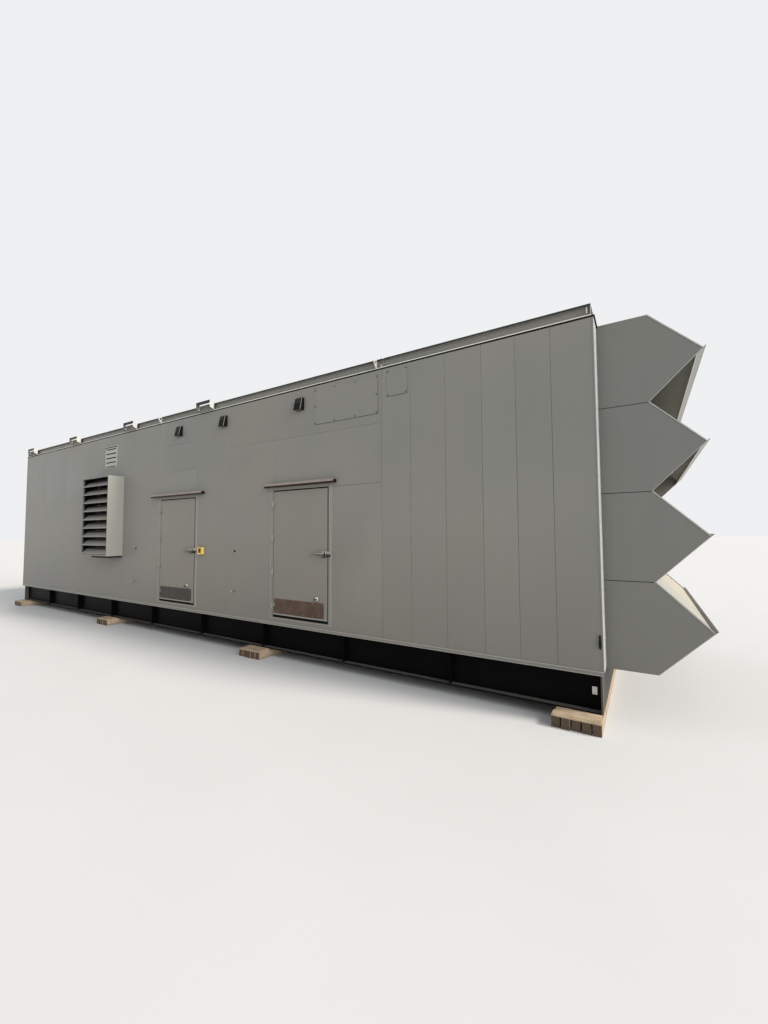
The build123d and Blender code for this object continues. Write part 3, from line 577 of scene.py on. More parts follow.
def softened(node, name, finish, edge, rounds=2, **how):
    """The node's own shape with its edges rounded, in its place."""
    bm = bmesh.new()
    bm.from_mesh(nodes[node].data)
    bmesh.ops.remove_doubles(bm, verts=bm.verts, dist=WELD_DISTANCE)
    bmesh.ops.dissolve_limit(bm, angle_limit=FLAT_WITHIN, verts=bm.verts, edges=bm.edges)
    return finish_piece(name, bm, finish, edge=edge, rounds=rounds, replaces=(node,), **how)


def block(bm, xs, ys, zs):
    corners = [bm.verts.new((x, y, z)) for z in zs for y in ys for x in xs]
    for quad in ((0, 2, 3, 1), (4, 5, 7, 6), (0, 1, 5, 4), (2, 6, 7, 3), (0, 4, 6, 2), (1, 3, 7, 5)):
        bm.faces.new([corners[index] for index in quad])


def tone_layer(bm):
    return bm.verts.layers.float.get("tone") or bm.verts.layers.float.new("tone")


def plate(bm, side, along, up, out, holes=(), edge=0.0, tone=0.0):
    """A flat plate on one side of the enclosure with rectangular holes, its outer edges broken."""
    layer = tone_layer(bm)
    cuts = []
    for axis, ends in ((0, along), (1, up)):
        marks = {min(max(value, ends[0]), ends[1]) for hole in holes for value in hole[axis]}
        cuts.append(sorted(marks | set(ends)))
    columns, rows = cuts
    corners = {}

    def corner(i, j, level):
        if (i, j, level) not in corners:
            vert = bm.verts.new(side(columns[i], out[level], rows[j]))
            vert[layer] = tone
            corners[i, j, level] = vert
        return corners[i, j, level]

    def open_at(i, j):
        middle = ((columns[i] + columns[i + 1]) / 2, (rows[j] + rows[j + 1]) / 2)
        return any(h[0][0] < middle[0] < h[0][1] and h[1][0] < middle[1] < h[1][1] for h in holes)

    cells = {(i, j) for i in range(len(columns) - 1) for j in range(len(rows) - 1) if not open_at(i, j)}
    rims = []
    for i, j in cells:
        for level in (0, 1):
            bm.faces.new([corner(i + a, j + b, level) for a, b in ((0, 0), (1, 0), (1, 1), (0, 1))])
        for step, (first, second) in (((0, -1), ((0, 0), (1, 0))), ((0, 1), ((0, 1), (1, 1))),
                                      ((-1, 0), ((0, 0), (0, 1))), ((1, 0), ((1, 0), (1, 1)))):
            if (i + step[0], j + step[1]) in cells:
                continue
            low, high = ([corner(i + a, j + b, level) for a, b in (first, second)] for level in (0, 1))
            bm.faces.new([low[0], low[1], high[1], high[0]])
            rims.append(bm.edges.get(high))
    if edge:
        bevel(bm, rims, edge, 2)


def thickened(points, thickness):
    """The closed outline of a folded sheet, from the line of its outer face and to that line's right."""
    inner = []
    for index, point in enumerate(points):
        here = Vector(point)
        before = (here - Vector(points[index - 1])).normalized() if index else None
        after = (Vector(points[index + 1]) - here).normalized() if index + 1 < len(points) else None
        sides = [Vector((way.y, -way.x)) for way in (before, after) if way is not None]
        middle = sum(sides, Vector((0, 0))).normalized()
        inner.append(here + middle * thickness / max(middle.dot(sides[0]), 0.3))
    return [Vector(point) for point in points] + inner[::-1]


def skinned(bm, rings):
    """Closes the run of rings into a solid: its two ends, and the strips between ring and ring."""
    bm.faces.new(rings[0][::-1])
    bm.faces.new(rings[-1])
    count = len(rings[0])
    for low, high in pairs(rings):
        for index in range(count):
            after = (index + 1) % count
            bm.faces.new([low[index], low[after], high[after], high[index]])


def drawn(bm, outline, start, end, way):
    """A bar with this outline between two places. Way turns outline and distance into a point."""
    skinned(bm, [[bm.verts.new(way(*point, place)) for point in outline] for place in (start, end)])


def turned(bm, centre, axis, profile, sides=12):
    """A closed turned shape: rings of (radius, height) along an axis."""
    axis = Vector(axis).normalized()
    across = axis.orthogonal().normalized()
    other = axis.cross(across)
    angles = [math.tau * index / sides for index in range(sides)]
    swings = [across * math.cos(angle) + other * math.sin(angle) for angle in angles]
    skinned(bm, [[bm.verts.new(Vector(centre) + axis * height + swing * radius) for swing in swings]
                 for radius, height in profile])


def hex_screw(bm, centre, axis, size):
    """A hexagon head on a washer."""
    turned(bm, centre, axis, ((size * 1.25, 0.0), (size * 1.25, size * 0.12), (size * 1.15, size * 0.2)), 14)
    head = Vector(centre) + Vector(axis).normalized() * size * 0.2
    turned(bm, head, axis, ((size * 0.8, 0.0), (size * 0.8, size * 0.45), (size * 0.68, size * 0.58)), 6)


def pan_screw(bm, centre, axis, size):
    """A low domed head."""
    turned(bm, centre, axis, ((size, 0.0), (size * 0.97, size * 0.18), (size * 0.75, size * 0.42),
                              (size * 0.38, size * 0.55), (size * 0.3, size * 0.46)), 12)


def screwed(name, finish, xs, y, zs, size, head=pan_screw, **how):
    """Like screws that look to the front, in columns and rows."""
    piece(name, finish, head, *(((x, y, z), TO_FRONT, size) for x in xs for z in zs), smooth=True, **how)


# Walls: panels with broken edges in front of an inner core, so that the joints are real grooves

OPEN_JOINT, CLOSE_JOINT = 0.0022, 0.0008
PANEL_BACK = -0.012
RAIL_JOINT = 0.022
foot, head = wall_base, wall_top - RAIL_JOINT
tones = random.Random(11)


def panel(bm, side, along, up, holes=(), joint=OPEN_JOINT):
    tone_range = 0.45 if joint == OPEN_JOINT else 0.12
    plate(bm, side, *inset((along, up), joint / 2), (PANEL_BACK, 0.0), holes, joint,
          tones.uniform(-tone_range, tone_range))


def door_place(side):
    """The leaf's edges along X and Z."""
    low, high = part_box(f"door_leaf_{side}")
    return (high.x - DOOR_WIDTH, high.x), (low.z, high.z)


front_holes = []
for side in DOOR_SIDES:
    frame_xs, frame_zs = outline_of(f"door_frame_{side}")
    leaf_xs, _ = door_place(side)
    frame_margin = frame_xs[1] - leaf_xs[1]
    front_holes.append(((leaf_xs[0] - frame_margin, frame_xs[1]), frame_zs))
casing_low, casing_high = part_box("louvre_casing")
casing = outline_of("louvre_casing")
front_holes.append(inset(casing, 0.060))

# Joints along the front, from the right-hand corner, and the levels of the short ones beside the doors
NARROW_JOINTS = (0.0, 0.470, 0.889, 1.325, 1.838, 2.375, 2.863)
RIGHT_DOOR_JOINT, MIDDLE_JOINT = 5.120, 6.300
LEFT_DOOR_JOINTS = (7.405, 8.430)
LOUVRE_JOINTS = (9.750, 10.900, 12.050, 13.400, 14.800)
door_level, cover_level = above_base(2.335), above_base(3.235)
level_low, level_high = above_base(2.930), above_base(3.524)
LEVEL_GAP = 0.0005

full_height = (foot, head)
near_door = (NARROW_JOINTS[-1], RIGHT_DOOR_JOINT)
front_panels = [(joints, full_height, (), OPEN_JOINT) for joints in pairs(NARROW_JOINTS)]
front_panels += [((NARROW_JOINTS[-1], MIDDLE_JOINT), (cover_level, head), (), OPEN_JOINT),
                 (near_door, (door_level, cover_level), front_holes, OPEN_JOINT),
                 (near_door, (foot, door_level), front_holes, OPEN_JOINT),
                 ((RIGHT_DOOR_JOINT, MIDDLE_JOINT), (foot, cover_level), front_holes, CLOSE_JOINT),
                 ((MIDDLE_JOINT, LEFT_DOOR_JOINTS[0]), full_height, front_holes, CLOSE_JOINT),
                 (LEFT_DOOR_JOINTS, (level_high + LEVEL_GAP, head), (), CLOSE_JOINT),
                 (LEFT_DOOR_JOINTS, (level_low, level_high), (), CLOSE_JOINT * 2),
                 (LEFT_DOOR_JOINTS, (foot, level_low - LEVEL_GAP), front_holes, CLOSE_JOINT)]
front_panels += [(joints, full_height, front_holes, CLOSE_JOINT)
                 for joints in pairs((LEFT_DOOR_JOINTS[1], *LOUVRE_JOINTS, wall_right - wall_left))]
# Painted shadow of the louvre casing on the wall below it
louvre_shadow = ((casing_low.x + 0.45, casing_high.x), (casing_low.z - 0.150, casing_low.z))
front_enamel = enamel("grey_front_enamel", ENCLOSURE_GREY, 0.34, 0.55, 0.30, stained=louvre_shadow)
piece("wall_panels_front", front_enamel, panel,
      *((front, (from_right(far), from_right(near)), up, holes, joint)
        for (near, far), up, holes, joint in front_panels), smooth=True)
# The cores are near black: dark in the joints, and painted shade inside the room
core = (foot, wall_top), (-wall_thickness, PANEL_BACK)
piece("wall_core_front", core_and_room_shade, plate, (front, wall_xs, *core, front_holes),
      replaces=[name for name in nodes if name.startswith("front_wall")])

FULL_PANEL = 0.4915


def even_joints(start, end):
    return evenly(start, end, round((end - start) / FULL_PANEL) + 1)


room_ys = inset(((wall_front, wall_rear),), wall_thickness)[0]
for skin, side, run, node in (("rear", rear, wall_xs, "rear_wall"),
                              ("left_end", left_end, room_ys, "end_wall_left")):
    piece(f"wall_panels_{skin}", grey_enamel, panel,
          *((side, ends, full_height) for ends in pairs(even_joints(*run))), smooth=True)
    piece(f"wall_core_{skin}", core_and_room_shade, plate, (side, run, *core), replaces=[node])

# Roof sheets with a low standing seam at each joint
ROOF_SHEET, SEAM_RISE, SEAM_WIDTH = 0.004, 0.024, 0.014
roof_low, roof_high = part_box("roof")
roof_ys = (roof_low.y, roof_high.y)
roof_joints = even_joints(roof_low.x, roof_high.x)
piece("roof_sheets", roof_enamel, plate,
      *((on_roof, (start + 0.001, end - 0.001), roof_ys, (0.0, ROOF_SHEET), (), 0.0, tones.uniform(-0.5, 0.5))
        for start, end in pairs(roof_joints)))
seam_ys, seam_zs = (roof_low.y + 0.01, roof_high.y - 0.01), (roof_top, roof_top + SEAM_RISE)
piece("roof_seams", roof_enamel, block,
      *((around(joint, SEAM_WIDTH / 2), seam_ys, seam_zs) for joint in roof_joints[1:-1]), edge=0.003)

carried_over = dict.fromkeys(("roof", "end_post_front", "end_post_rear", "end_transoms"), grey_enamel)
for node, finish in {**carried_over, "floor": floor_tread}.items():
    nodes[node].data.materials.clear()
    nodes[node].data.materials.append(finish)

# Black strip in the joint under the rail as a painted shadow, and the pale lip of the rail above it as a
# painted highlight
seal_zs = (head - 0.001, wall_top - 0.0005)
piece("rail_joint_sealant", joint_black, plate,
      *((side, wall_xs, seal_zs, (PANEL_BACK, -0.0015)) for side in (front, rear)),
      *((side, (wall_front - 0.001, wall_rear + 0.001), seal_zs, (-0.004, 0.018))
        for side in (left_end, right_end)))
rail_xs, _ = outline_of("rail_ends")
LIP_HEIGHT = 0.013
piece("rail_foot_lips", edge_highlight_enamel, block,
      *both_walls(rail_xs, (-0.004, 0.004), (wall_top + 0.0005, wall_top + LIP_HEIGHT)), edge=0.002)

# Foot trim with rounded pale hems as painted highlights, corner angles, and the pale cover strips on their
# end legs, at the right-hand end painted sunlight beside a black painted shadow
softened("edge_trims", "corner_and_foot_trims", grey_enamel, 0.0008)
piece("foot_trim_hems", highlight_trim_enamel, block,
      *both_walls(wall_xs, (-0.002, -0.0085), (above_base(0.036), above_base(0.0475))),
      *both_walls(wall_xs, (-0.002, -0.0155), (above_base(-0.001), above_base(0.007))), edge=0.003)
RIGHT_STRIP, LEFT_STRIP, ROOT_REACH = 0.272, 0.058, 0.299
strip_zs = (wall_base + 0.050, wall_top - 0.024)
piece("corner_cover_strips", sunlit_corner_enamel, block,
      *both_walls((wall_right + 0.002, wall_right + 0.0045), (-0.002, RIGHT_STRIP), strip_zs),
      *both_walls((wall_left - 0.0045, wall_left - 0.002), (-0.002, LEFT_STRIP), strip_zs), edge=0.0008)
# Black strip between the pale strip and the hood: painted shadow
piece("hood_root_sealant", joint_black, block,
      *both_walls((wall_right - 0.001, wall_right + 0.0015), (RIGHT_STRIP + 0.0005, ROOT_REACH), strip_zs))
TRIM_SKIN = 0.0045
piece("corner_trim_screws", dull_screw, pan_screw,
      *(((corner_x, face + inward * 0.042, level), (outward, 0, 0), 0.0075)
        for face, inward in LONG_WALLS for level in pitched(foot + 0.18, head - 0.08)
        for corner_x, outward in ((wall_right + TRIM_SKIN, 1), (wall_left - TRIM_SKIN, -1))), smooth=True)


# Doors

def on_door(proud):
    """The span along Y of what is fixed to the doors' face."""
    return door_face - proud, door_face + 0.0005


LIP_WIDTH, LIP_START, HEAD_LIP = 0.024, 0.003, 0.021
GASKET_REACH, GASKET_DEPTH = 0.006, 0.052
HINGE_LOW, HINGE_TOP, HINGES = 0.140, 0.224, 4
BUMPER_PLACES = {"left": 1.015, "right": 1.035}
BUMPER = ((0.019, -0.001), (0.019, 0.003), (0.016, 0.008), (0.014, 0.016), (0.010, 0.019))
for side in DOOR_SIDES:
    body = f"door_{side}"
    leaf = (leaf_left, leaf_right), (leaf_foot, leaf_head) = door_place(side)
    softened(f"door_frame_{side}", f"door_frame_steel_{side}", grey_enamel, 0.0012)
    softened(f"door_leaf_{side}", f"door_leaf_steel_{side}", door_enamel, 0.0012, body=body)

    # Kick plate with its screws; the plate's dark brown is a painted reflection of the ground
    kick_xs, kick_zs = (leaf_left + 0.020, leaf_right - 0.075), (leaf_foot + 0.022, leaf_foot + 0.277)
    kick_steel = kick_steels[DOOR_SIDES.index(side)]
    piece(f"kick_plate_{side}", kick_steel, block, (kick_xs, on_door(0.0016), kick_zs),
          body=body, edge=0.0005)
    screwed(f"kick_plate_screws_{side}", hardware_steel, evenly(kick_xs[0] + 0.02, kick_xs[1] - 0.02, 6),
            door_face - 0.0015, (kick_zs[0] + 0.018, kick_zs[1] - 0.018), 0.0048, body=body)

    # Pale retainer of the rubber sweep at the leaf's foot as a painted highlight, and the catch plate round
    # the hold-open stud, darker below as painted shade
    piece(f"door_sweep_{side}", highlight_trim_enamel, block,
          ((leaf_left + 0.004, leaf_right - 0.002), on_door(0.005), (leaf_foot + 0.0015, leaf_foot + 0.017)),
          body=body, slot=None, edge=0.002)
    piece(f"hold_open_catch_{side}", catch_steel, block,
          (around(leaf_left + 1.006, 0.024), on_door(0.022), (CATCH_LEVEL - 0.046, CATCH_LEVEL + 0.036)),
          body=body, edge=0.009, rounds=4)

    # Gasket that fills most of the gap round the leaf, on the frame
    gasket_out = (DOOR_PROUD - GASKET_DEPTH, DOOR_PROUD - GASKET_DEPTH + 0.0055)
    piece(f"door_gasket_{side}", black_rubber, plate,
          (front, *inset(leaf, -GASKET_REACH), gasket_out, (inset(leaf, 0.012),), 0.001))

    # Black seal lip along the leaf's head and latch edge, and a thin dark line along its hinge edge, widened
    # as painted shadow in the gaps round the leaf
    lip_ys = on_door(0.0012)
    latch_lip = (leaf_right + LIP_START, leaf_right + LIP_WIDTH)
    piece(f"door_seal_lip_painted_shadow_{side}", seal_and_shadow_black, block,
          (latch_lip, lip_ys, (leaf_foot - 0.006, leaf_head + HEAD_LIP)),
          ((leaf_left - 0.0065, leaf_left - 0.0012), on_door(0.0004), (leaf_foot, leaf_head)),
          ((leaf_left - 0.006, leaf_right + LIP_START - 0.0005), lip_ys,
           (leaf_head + LIP_START, leaf_head + HEAD_LIP)))

    # Pale edges of the frame, outside and beside the seal, as painted highlights
    frame_edges = bmesh.new()
    frame_xs = around((leaf_left + leaf_right) / 2, DOOR_WIDTH / 2 + frame_margin)
    frame_zs = (leaf_foot - frame_margin + 0.008, leaf_head + frame_margin + 0.006)
    inside = ((frame_xs[0] + 0.003, frame_xs[1] - 0.007), (frame_zs[0] + 0.005, frame_zs[1] - 0.005))
    plate(frame_edges, front, frame_xs, frame_zs, (DOOR_PROUD - 0.0005, DOOR_PROUD + 0.0016), (inside,))
    block(frame_edges, (latch_lip[1], latch_lip[1] + 0.007), lip_ys, (leaf_foot, leaf_head + HEAD_LIP))
    finish_piece(f"door_frame_edges_{side}", frame_edges, sunlit_pale_enamel)

    # Black threshold on the frame's foot
    piece(f"door_threshold_{side}", seal_and_shadow_black, block,
          ((leaf_left - 0.004, leaf_right + 0.012), on_door(0.003), (leaf_foot - 0.044, leaf_foot - 0.0045)),
          edge=0.0012)

    # Hinge plates on the frame, and screws on both halves
    levels = evenly(leaf_foot + HINGE_LOW, leaf_head - HINGE_TOP, HINGES)
    piece(f"hinge_plates_{side}", hinge_steel, block,
          *((around(leaf_left - 0.029, 0.015), on_door(0.0065), around(level, 0.046)) for level in levels),
          edge=0.0015)
    for half, screw_x, way, rider in (("frame", leaf_left - 0.030, -1, "enclosure"),
                                      ("leaf", leaf_left + 0.028, 1, body)):
        screwed(f"hinge_screws_{half}_{side}", hardware_steel, (screw_x,), door_face - 0.006,
                [level + way * rise for level in levels for rise in (0.014, 0.046)], 0.0042, body=rider)

    # Latch, lever, and the screws of the latch base
    softened(f"door_hardware_{side}", f"latch_base_{side}", latch_steel, 0.0015, body=body)
    softened(f"latch_lever_{side}", f"pull_lever_{side}", lever_steel, 0.0035, 3, body=f"lever_{side}")
    screwed(f"latch_screws_{side}", hardware_steel, around(leaf_right - 0.050, 0.027), door_face - 0.006,
            around(LATCH_LEVEL, 0.042), 0.0055, body=body)

    # Rubber bumper on the wall where the lever comes to rest when the door is open
    bumper_x = leaf_left - BUMPER_PLACES[side]
    piece(f"wall_bumper_{side}", black_rubber, turned,
          ((bumper_x, wall_front, above_base(1.255)), TO_FRONT, BUMPER, 20), smooth=True)

softened("latch_strikes", "latch_strike_plates", latch_steel, 0.0015)
softened("wall_holdbacks", "wall_holdback_studs", hardware_steel, 0.0012)
softened("drip_caps", "drip_cap_sheets", cap_steel, 0.0012)
caps_low, caps_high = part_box("drip_caps")
cap_y = caps_low.y
cap_fold = caps_low.z + 0.42 * (caps_high.z - caps_low.z)
CAP_LENGTHS = {"left": 1.820, "right": 1.560}
cap_spans = [around(sum(door_place(side)[0]) / 2, CAP_LENGTHS[side] / 2) for side in DOOR_SIDES]
# The caps' lower hems and gutter faces are dark as painted shade below the lighter top
piece("drip_cap_hems", cap_shade_steel, block,
      *((xs, around(cap_y, 0.003), (caps_low.z - 0.011, caps_low.z + 0.005)) for xs in cap_spans), edge=0.002)
piece("drip_cap_gutter_faces", cap_face_shade_steel, block,
      *((xs, (cap_y - 0.002, cap_y + 0.001), (caps_low.z + 0.004, cap_fold + 0.001)) for xs in cap_spans),
      *((around(end, 0.003), (cap_y - 0.001, wall_front), (caps_low.z - 0.004, caps_high.z + 0.002))
        for xs in cap_spans for end in xs), edge=0.0008)
cap_edge = (cap_y - 0.003, cap_y + 0.001), (cap_fold, caps_high.z + 0.011)
piece("drip_cap_gutter_edges", cap_steel, block, *((xs, *cap_edge) for xs in cap_spans), edge=0.0012)

# Yellow lock block on the wall beside the left door's strike, with a pocket and a shackle bar in a brown that
# is painted shade
lock_low, lock_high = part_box("strike_lock")
lock_middle = (lock_low.x + lock_high.x) / 2
lock_xs, lock_zs = lock_face = outline_of("strike_lock")
LOCK_SHELL, CUP_WALL = 0.034, 0.0012
lock_out = wall_front - lock_low.y
pocket = ((lock_low.x + 0.030, lock_high.x - 0.006), (lock_low.z + 0.030, lock_high.z - 0.020))
lock = bmesh.new()
plate(lock, front, *lock_face, (lock_out - LOCK_SHELL, lock_out), (pocket,))
block(lock, lock_xs, (lock_low.y + LOCK_SHELL, lock_high.y), lock_zs)
finish_piece("lock_body", lock, lock_yellow, edge=0.005, rounds=3, replaces=["strike_lock"])
cup = bmesh.new()
plate(cup, front, *pocket, (lock_out - 0.030, lock_out - 0.0045), (inset(pocket, CUP_WALL),))
plate(cup, front, *pocket, (lock_out - 0.0335, lock_out - 0.0302))
block(cup, (lock_middle - 0.006, lock_high.x - 0.010), (lock_low.y + 0.012, lock_high.y - 0.010),
      (lock_low.z - 0.012, lock_low.z + 0.001))
finish_piece("lock_pocket", cup, lock_pocket_shade)
shackle_rise = pocket[1][1] - pocket[1][0] + 0.004
piece("lock_shackle", lock_pocket_shade, turned,
      *(((lock_middle + offset, lock_low.y + 0.016, pocket[1][0] - 0.002), UP,
         ((0.0042, 0.0), (0.0042, shackle_rise)), 12) for offset in (-0.018, 0.012)), smooth=True)

# Louvre: casing, hooked blades, wire guard, fixing flange, and a black strip under the casing as a painted
# shadow
CASING_SHEET, BLADES, BLADE_RUN = 0.030, 9, 0.150
WIRE, GUARD_PITCH = 0.0016, 0.025
FLANGE, SHADOW_STRIP = 0.025, 0.036
inside_box = inset(casing, 0.004)
# The casing and blades darken with depth behind the louvre's front as painted shade
casing_shade = ((casing_low.y + 0.004, casing_low.y + 0.070), *inside_box)
blade_shade = ((casing_low.y + 0.100, casing_low.y + 0.165), *inside_box)
casing_enamel = enamel("sooty_louvre_box_enamel", ENCLOSURE_GREY, 0.34, 0.4, sooty=casing_shade)
# The casing's end faces take a paler enamel as painted light from the side
casing_lit_side = enamel("louvre_box_side_enamel", (0.285, 0.284, 0.258), 0.26, 0.4, sooty=casing_shade)
blade_enamel = enamel("sooty_louvre_blade_enamel", (0.250, 0.243, 0.226), 0.36, 0.4, sooty=blade_shade)
softened("louvre_casing", "louvre_box", casing_enamel, 0.0025, ends=(casing_lit_side, 0))
throat_xs, throat_zs = inset(casing, CASING_SHEET)
blade_front = casing_low.y + 0.010
blade_back = blade_front + BLADE_RUN
blade_rows = []
for blade_foot in evenly(*throat_zs, BLADES + 1)[:-1]:
    low = blade_foot + 0.010
    fold = ((blade_back, low + BLADE_RUN + 0.014), (blade_back, low + BLADE_RUN), (blade_front, low),
            (blade_front, low + 0.026), (blade_front + 0.012, low + 0.030))
    blade_rows.append((thickened(fold, 0.003), *throat_xs, along_x))
piece("louvre_blade_sheets", blade_enamel, drawn, *blade_rows,
      edge=0.0008, rounds=1, replaces=["louvre_blades"])
guard_y = blade_back + 0.020
piece("louvre_wire_guard", wire_black, block,
      *((throat_xs, (guard_y, guard_y + WIRE), (level, level + WIRE))
        for level in pitched(throat_zs[0] + GUARD_PITCH, throat_zs[1], GUARD_PITCH)),
      *(((wire_x, wire_x + WIRE), (guard_y + WIRE, guard_y + 2 * WIRE), throat_zs)
        for wire_x in pitched(throat_xs[0] + GUARD_PITCH, throat_xs[1], GUARD_PITCH)))
flange_xs, flange_zs = flange = inset(casing, -FLANGE)
piece("louvre_flange", grey_enamel, plate,
      (front, *flange, (-0.001, 0.0025), (inset(casing, 0.01),), 0.0008), smooth=True)
# A black strip under the right-hand part of the casing stands in for its shadow: painted shadow
shadow_strip_left = casing_low.x + 0.45 * (casing_high.x - casing_low.x)
piece("louvre_drip_strip", black_rubber, block,
      ((shadow_strip_left, casing_high.x - 0.002), (casing_low.y + 0.006, wall_front - 0.003),
       (casing_low.z - SHADOW_STRIP, casing_low.z + 0.0005)), edge=0.002)
screw_xs, screw_zs = inset(flange, FLANGE / 2)


def middles(span, count):
    """The middles of equal parts of a span."""
    return [span[0] + (span[1] - span[0]) * (index + 0.5) / count for index in range(count)]


flange_spots = [(x, z) for x in screw_xs for z in middles(flange_zs, 8)]
flange_spots += [(x, z) for x in middles(flange_xs, 6) for z in screw_zs]
piece("louvre_flange_screws", zinc, pan_screw,
      *((front(x, 0.0025, z), TO_FRONT, 0.0055) for x, z in flange_spots), smooth=True)

# Small vent: a pale plate with five stamped scoops over slots with a black back, and a dark strip over the
# top one, the black back and strip being painted shade
VENT_SCOOPS, SCOOP_ARC, SCOOP_HEIGHT, SCOOP_BULGE = 5, 7, 0.074, 0.013
vent_xs, vent_zs = vent_face = outline_of("small_vent")
scoop_xs = (vent_xs[0] + 0.050, vent_xs[1] - 0.050)
scoop_fall = SCOOP_HEIGHT * 0.70
slots = [(scoop_xs, around(middle, SCOOP_HEIGHT / 2)) for middle in middles(vent_zs, VENT_SCOOPS)]
vent = bmesh.new()
plate(vent, front, *vent_face, (0.006, 0.009), slots, 0.001)
plate(vent, front, *vent_face, (-0.001, 0.0065), (inset(vent_face, 0.02),))
for _, (_, slot_head) in slots:
    scoop = []
    for angle in evenly(0.0, math.pi / 2, SCOOP_ARC + 1):
        scoop.append(Vector((wall_front - 0.008 - SCOOP_BULGE * math.sin(angle),
                             slot_head - scoop_fall * (1 - math.cos(angle)))))
    sheet_back = [Vector((point.x + 0.0018, point.y)) for point in scoop[::-1]]
    drawn(vent, scoop + sheet_back, *scoop_xs, along_x)
    cheek = [*scoop, Vector((wall_front - 0.0075, slot_head - scoop_fall))]
    for cheek_x in (scoop_xs[0] - 0.001, scoop_xs[1] - 0.0005):
        drawn(vent, cheek, cheek_x, cheek_x + 0.0015, along_x)
finish_piece("vent_scoop_plate", vent, vent_enamel, replaces=["small_vent"])
# Black back plate and top strip: painted shade in the slots
vent_shade_back = bmesh.new()
plate(vent_shade_back, front, *inset(vent_face, 0.03), (0.0005, 0.002))
block(vent_shade_back, (vent_xs[0] + 0.022, vent_xs[1] - 0.012), (wall_front - 0.0205, wall_front - 0.0085),
      (vent_zs[1] - 0.041, vent_zs[1] - 0.021))
finish_piece("vent_dark_back", vent_shade_back, black_rubber)
screw_xs, screw_zs = inset(vent_face, 0.014)
screwed("vent_screws", zinc, evenly(*screw_xs, 3), wall_front - 0.009, screw_zs, 0.0055)

# Wall lights: die-cast hoods with a lens door, ribs and a back plate
LIGHT_HALF, LIGHT_TOP_DEPTH = 0.0825, 0.045
softened("wall_lights", "wall_light_hoods", lamp_bronze, 0.006, 3)
lights_low, lights_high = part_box("wall_lights")
face_high = Vector((wall_front - LIGHT_TOP_DEPTH, lights_high.z))
face_low = Vector((lights_low.y, lights_low.z))
face_length = (face_low - face_high).length
lean = (face_low - face_high).normalized()
lean_out = Vector((lean.y, -lean.x))
light_middles = [from_right(place) for place in (4.499, 6.500, 7.970)]
under_zs = (lights_low.z - 0.004, lights_low.z + 0.003)


def on_light(bm, middle, along, down, out):
    """A bar on the light's leaning front, between two distances down it."""
    corners = [face_high + lean * down[i] + lean_out * out[j] for i, j in ((0, 0), (0, 1), (1, 1), (1, 0))]
    drawn(bm, corners, middle + along[0], middle + along[1], along_x)


def on_each_light(name, finish, *rows, **how):
    piece(name, finish, on_light, *((middle, *row) for middle in light_middles for row in rows), **how)


on_each_light("wall_light_lenses", lens_glass, ((0.012 - LIGHT_HALF, LIGHT_HALF - 0.018),
              (0.105, face_length - 0.010), (-0.002, 0.003)), edge=0.002)
piece("wall_light_under_lenses", lens_grey, block,
      *((around(middle, LIGHT_HALF - 0.012), (lights_low.y + 0.008, wall_front - 0.012), under_zs)
        for middle in light_middles), edge=0.002)
on_each_light("wall_light_ribs", rib_bronze,
              *((around(0.022 * (step + 1) - LIGHT_HALF, 0.0070), (0.010, 0.098), (-0.002, 0.005))
                for step in range(6)), edge=0.001, rounds=1)
piece("wall_light_plates", lamp_bronze, block,
      *((around(middle, LIGHT_HALF + 0.005), (wall_front - 0.006, wall_front + 0.001),
         (lights_low.z - 0.004, lights_high.z + 0.004)) for middle in light_middles), edge=0.002)
# Pale strips down the lights' right-hand edges: painted highlights
on_each_light("wall_light_edge_strips", lamp_highlight, ((LIGHT_HALF - 0.012, LIGHT_HALF - 0.002),
              (0.004, face_length - 0.004), (-0.002, 0.003)), edge=0.001, rounds=1)

# Bolted access covers on thin dark gaskets, which stand out further at the bottom and right as a painted
# shadow
COVERS = (((2.924, 1.255), (3.384, 0.590), 4, 1), ((2.420, 0.348), (3.608, 0.392), 2, 0))
COVER_MARGIN = 0.022
softened("access_covers", "access_cover_sheets", grey_enamel, 0.0008)
gaskets, cover_spots = [], []
for (place, width), (low, tall), across_count, middle_count in COVERS:
    xs, zs = (from_right(place) - width, from_right(place)), (above_base(low), above_base(low) + tall)
    # The gasket stands out further at the right and bottom as painted shadow
    shadow_rim = 0.0050 if middle_count else 0.0015
    gaskets.append((front, (xs[0] - 0.0015, xs[1] + shadow_rim), (zs[0] - 0.0055, zs[1] + 0.0005), (-0.001, 0.0022)))
    screw_xs, screw_zs = inset((xs, zs), COVER_MARGIN)
    cover_spots += [(x, z) for x in evenly(*screw_xs, across_count) for z in screw_zs]
    cover_spots += [(x, sum(zs) / 2) for x in screw_xs[:2 * middle_count]]
WASHER = ((0.0115, 0.0), (0.0115, 0.003))
piece("access_cover_gaskets", black_rubber, plate, *gaskets)
piece("access_cover_screws", shade_enamel, hex_screw,
      *((front(x, 0.0066, z), TO_FRONT, 0.0070) for x, z in cover_spots), slot="stainless", smooth=True)
piece("access_cover_washers", shade_enamel, turned,
      *((front(x, 0.0038, z), TO_FRONT, WASHER, 16) for x, z in cover_spots), slot=None, smooth=True)

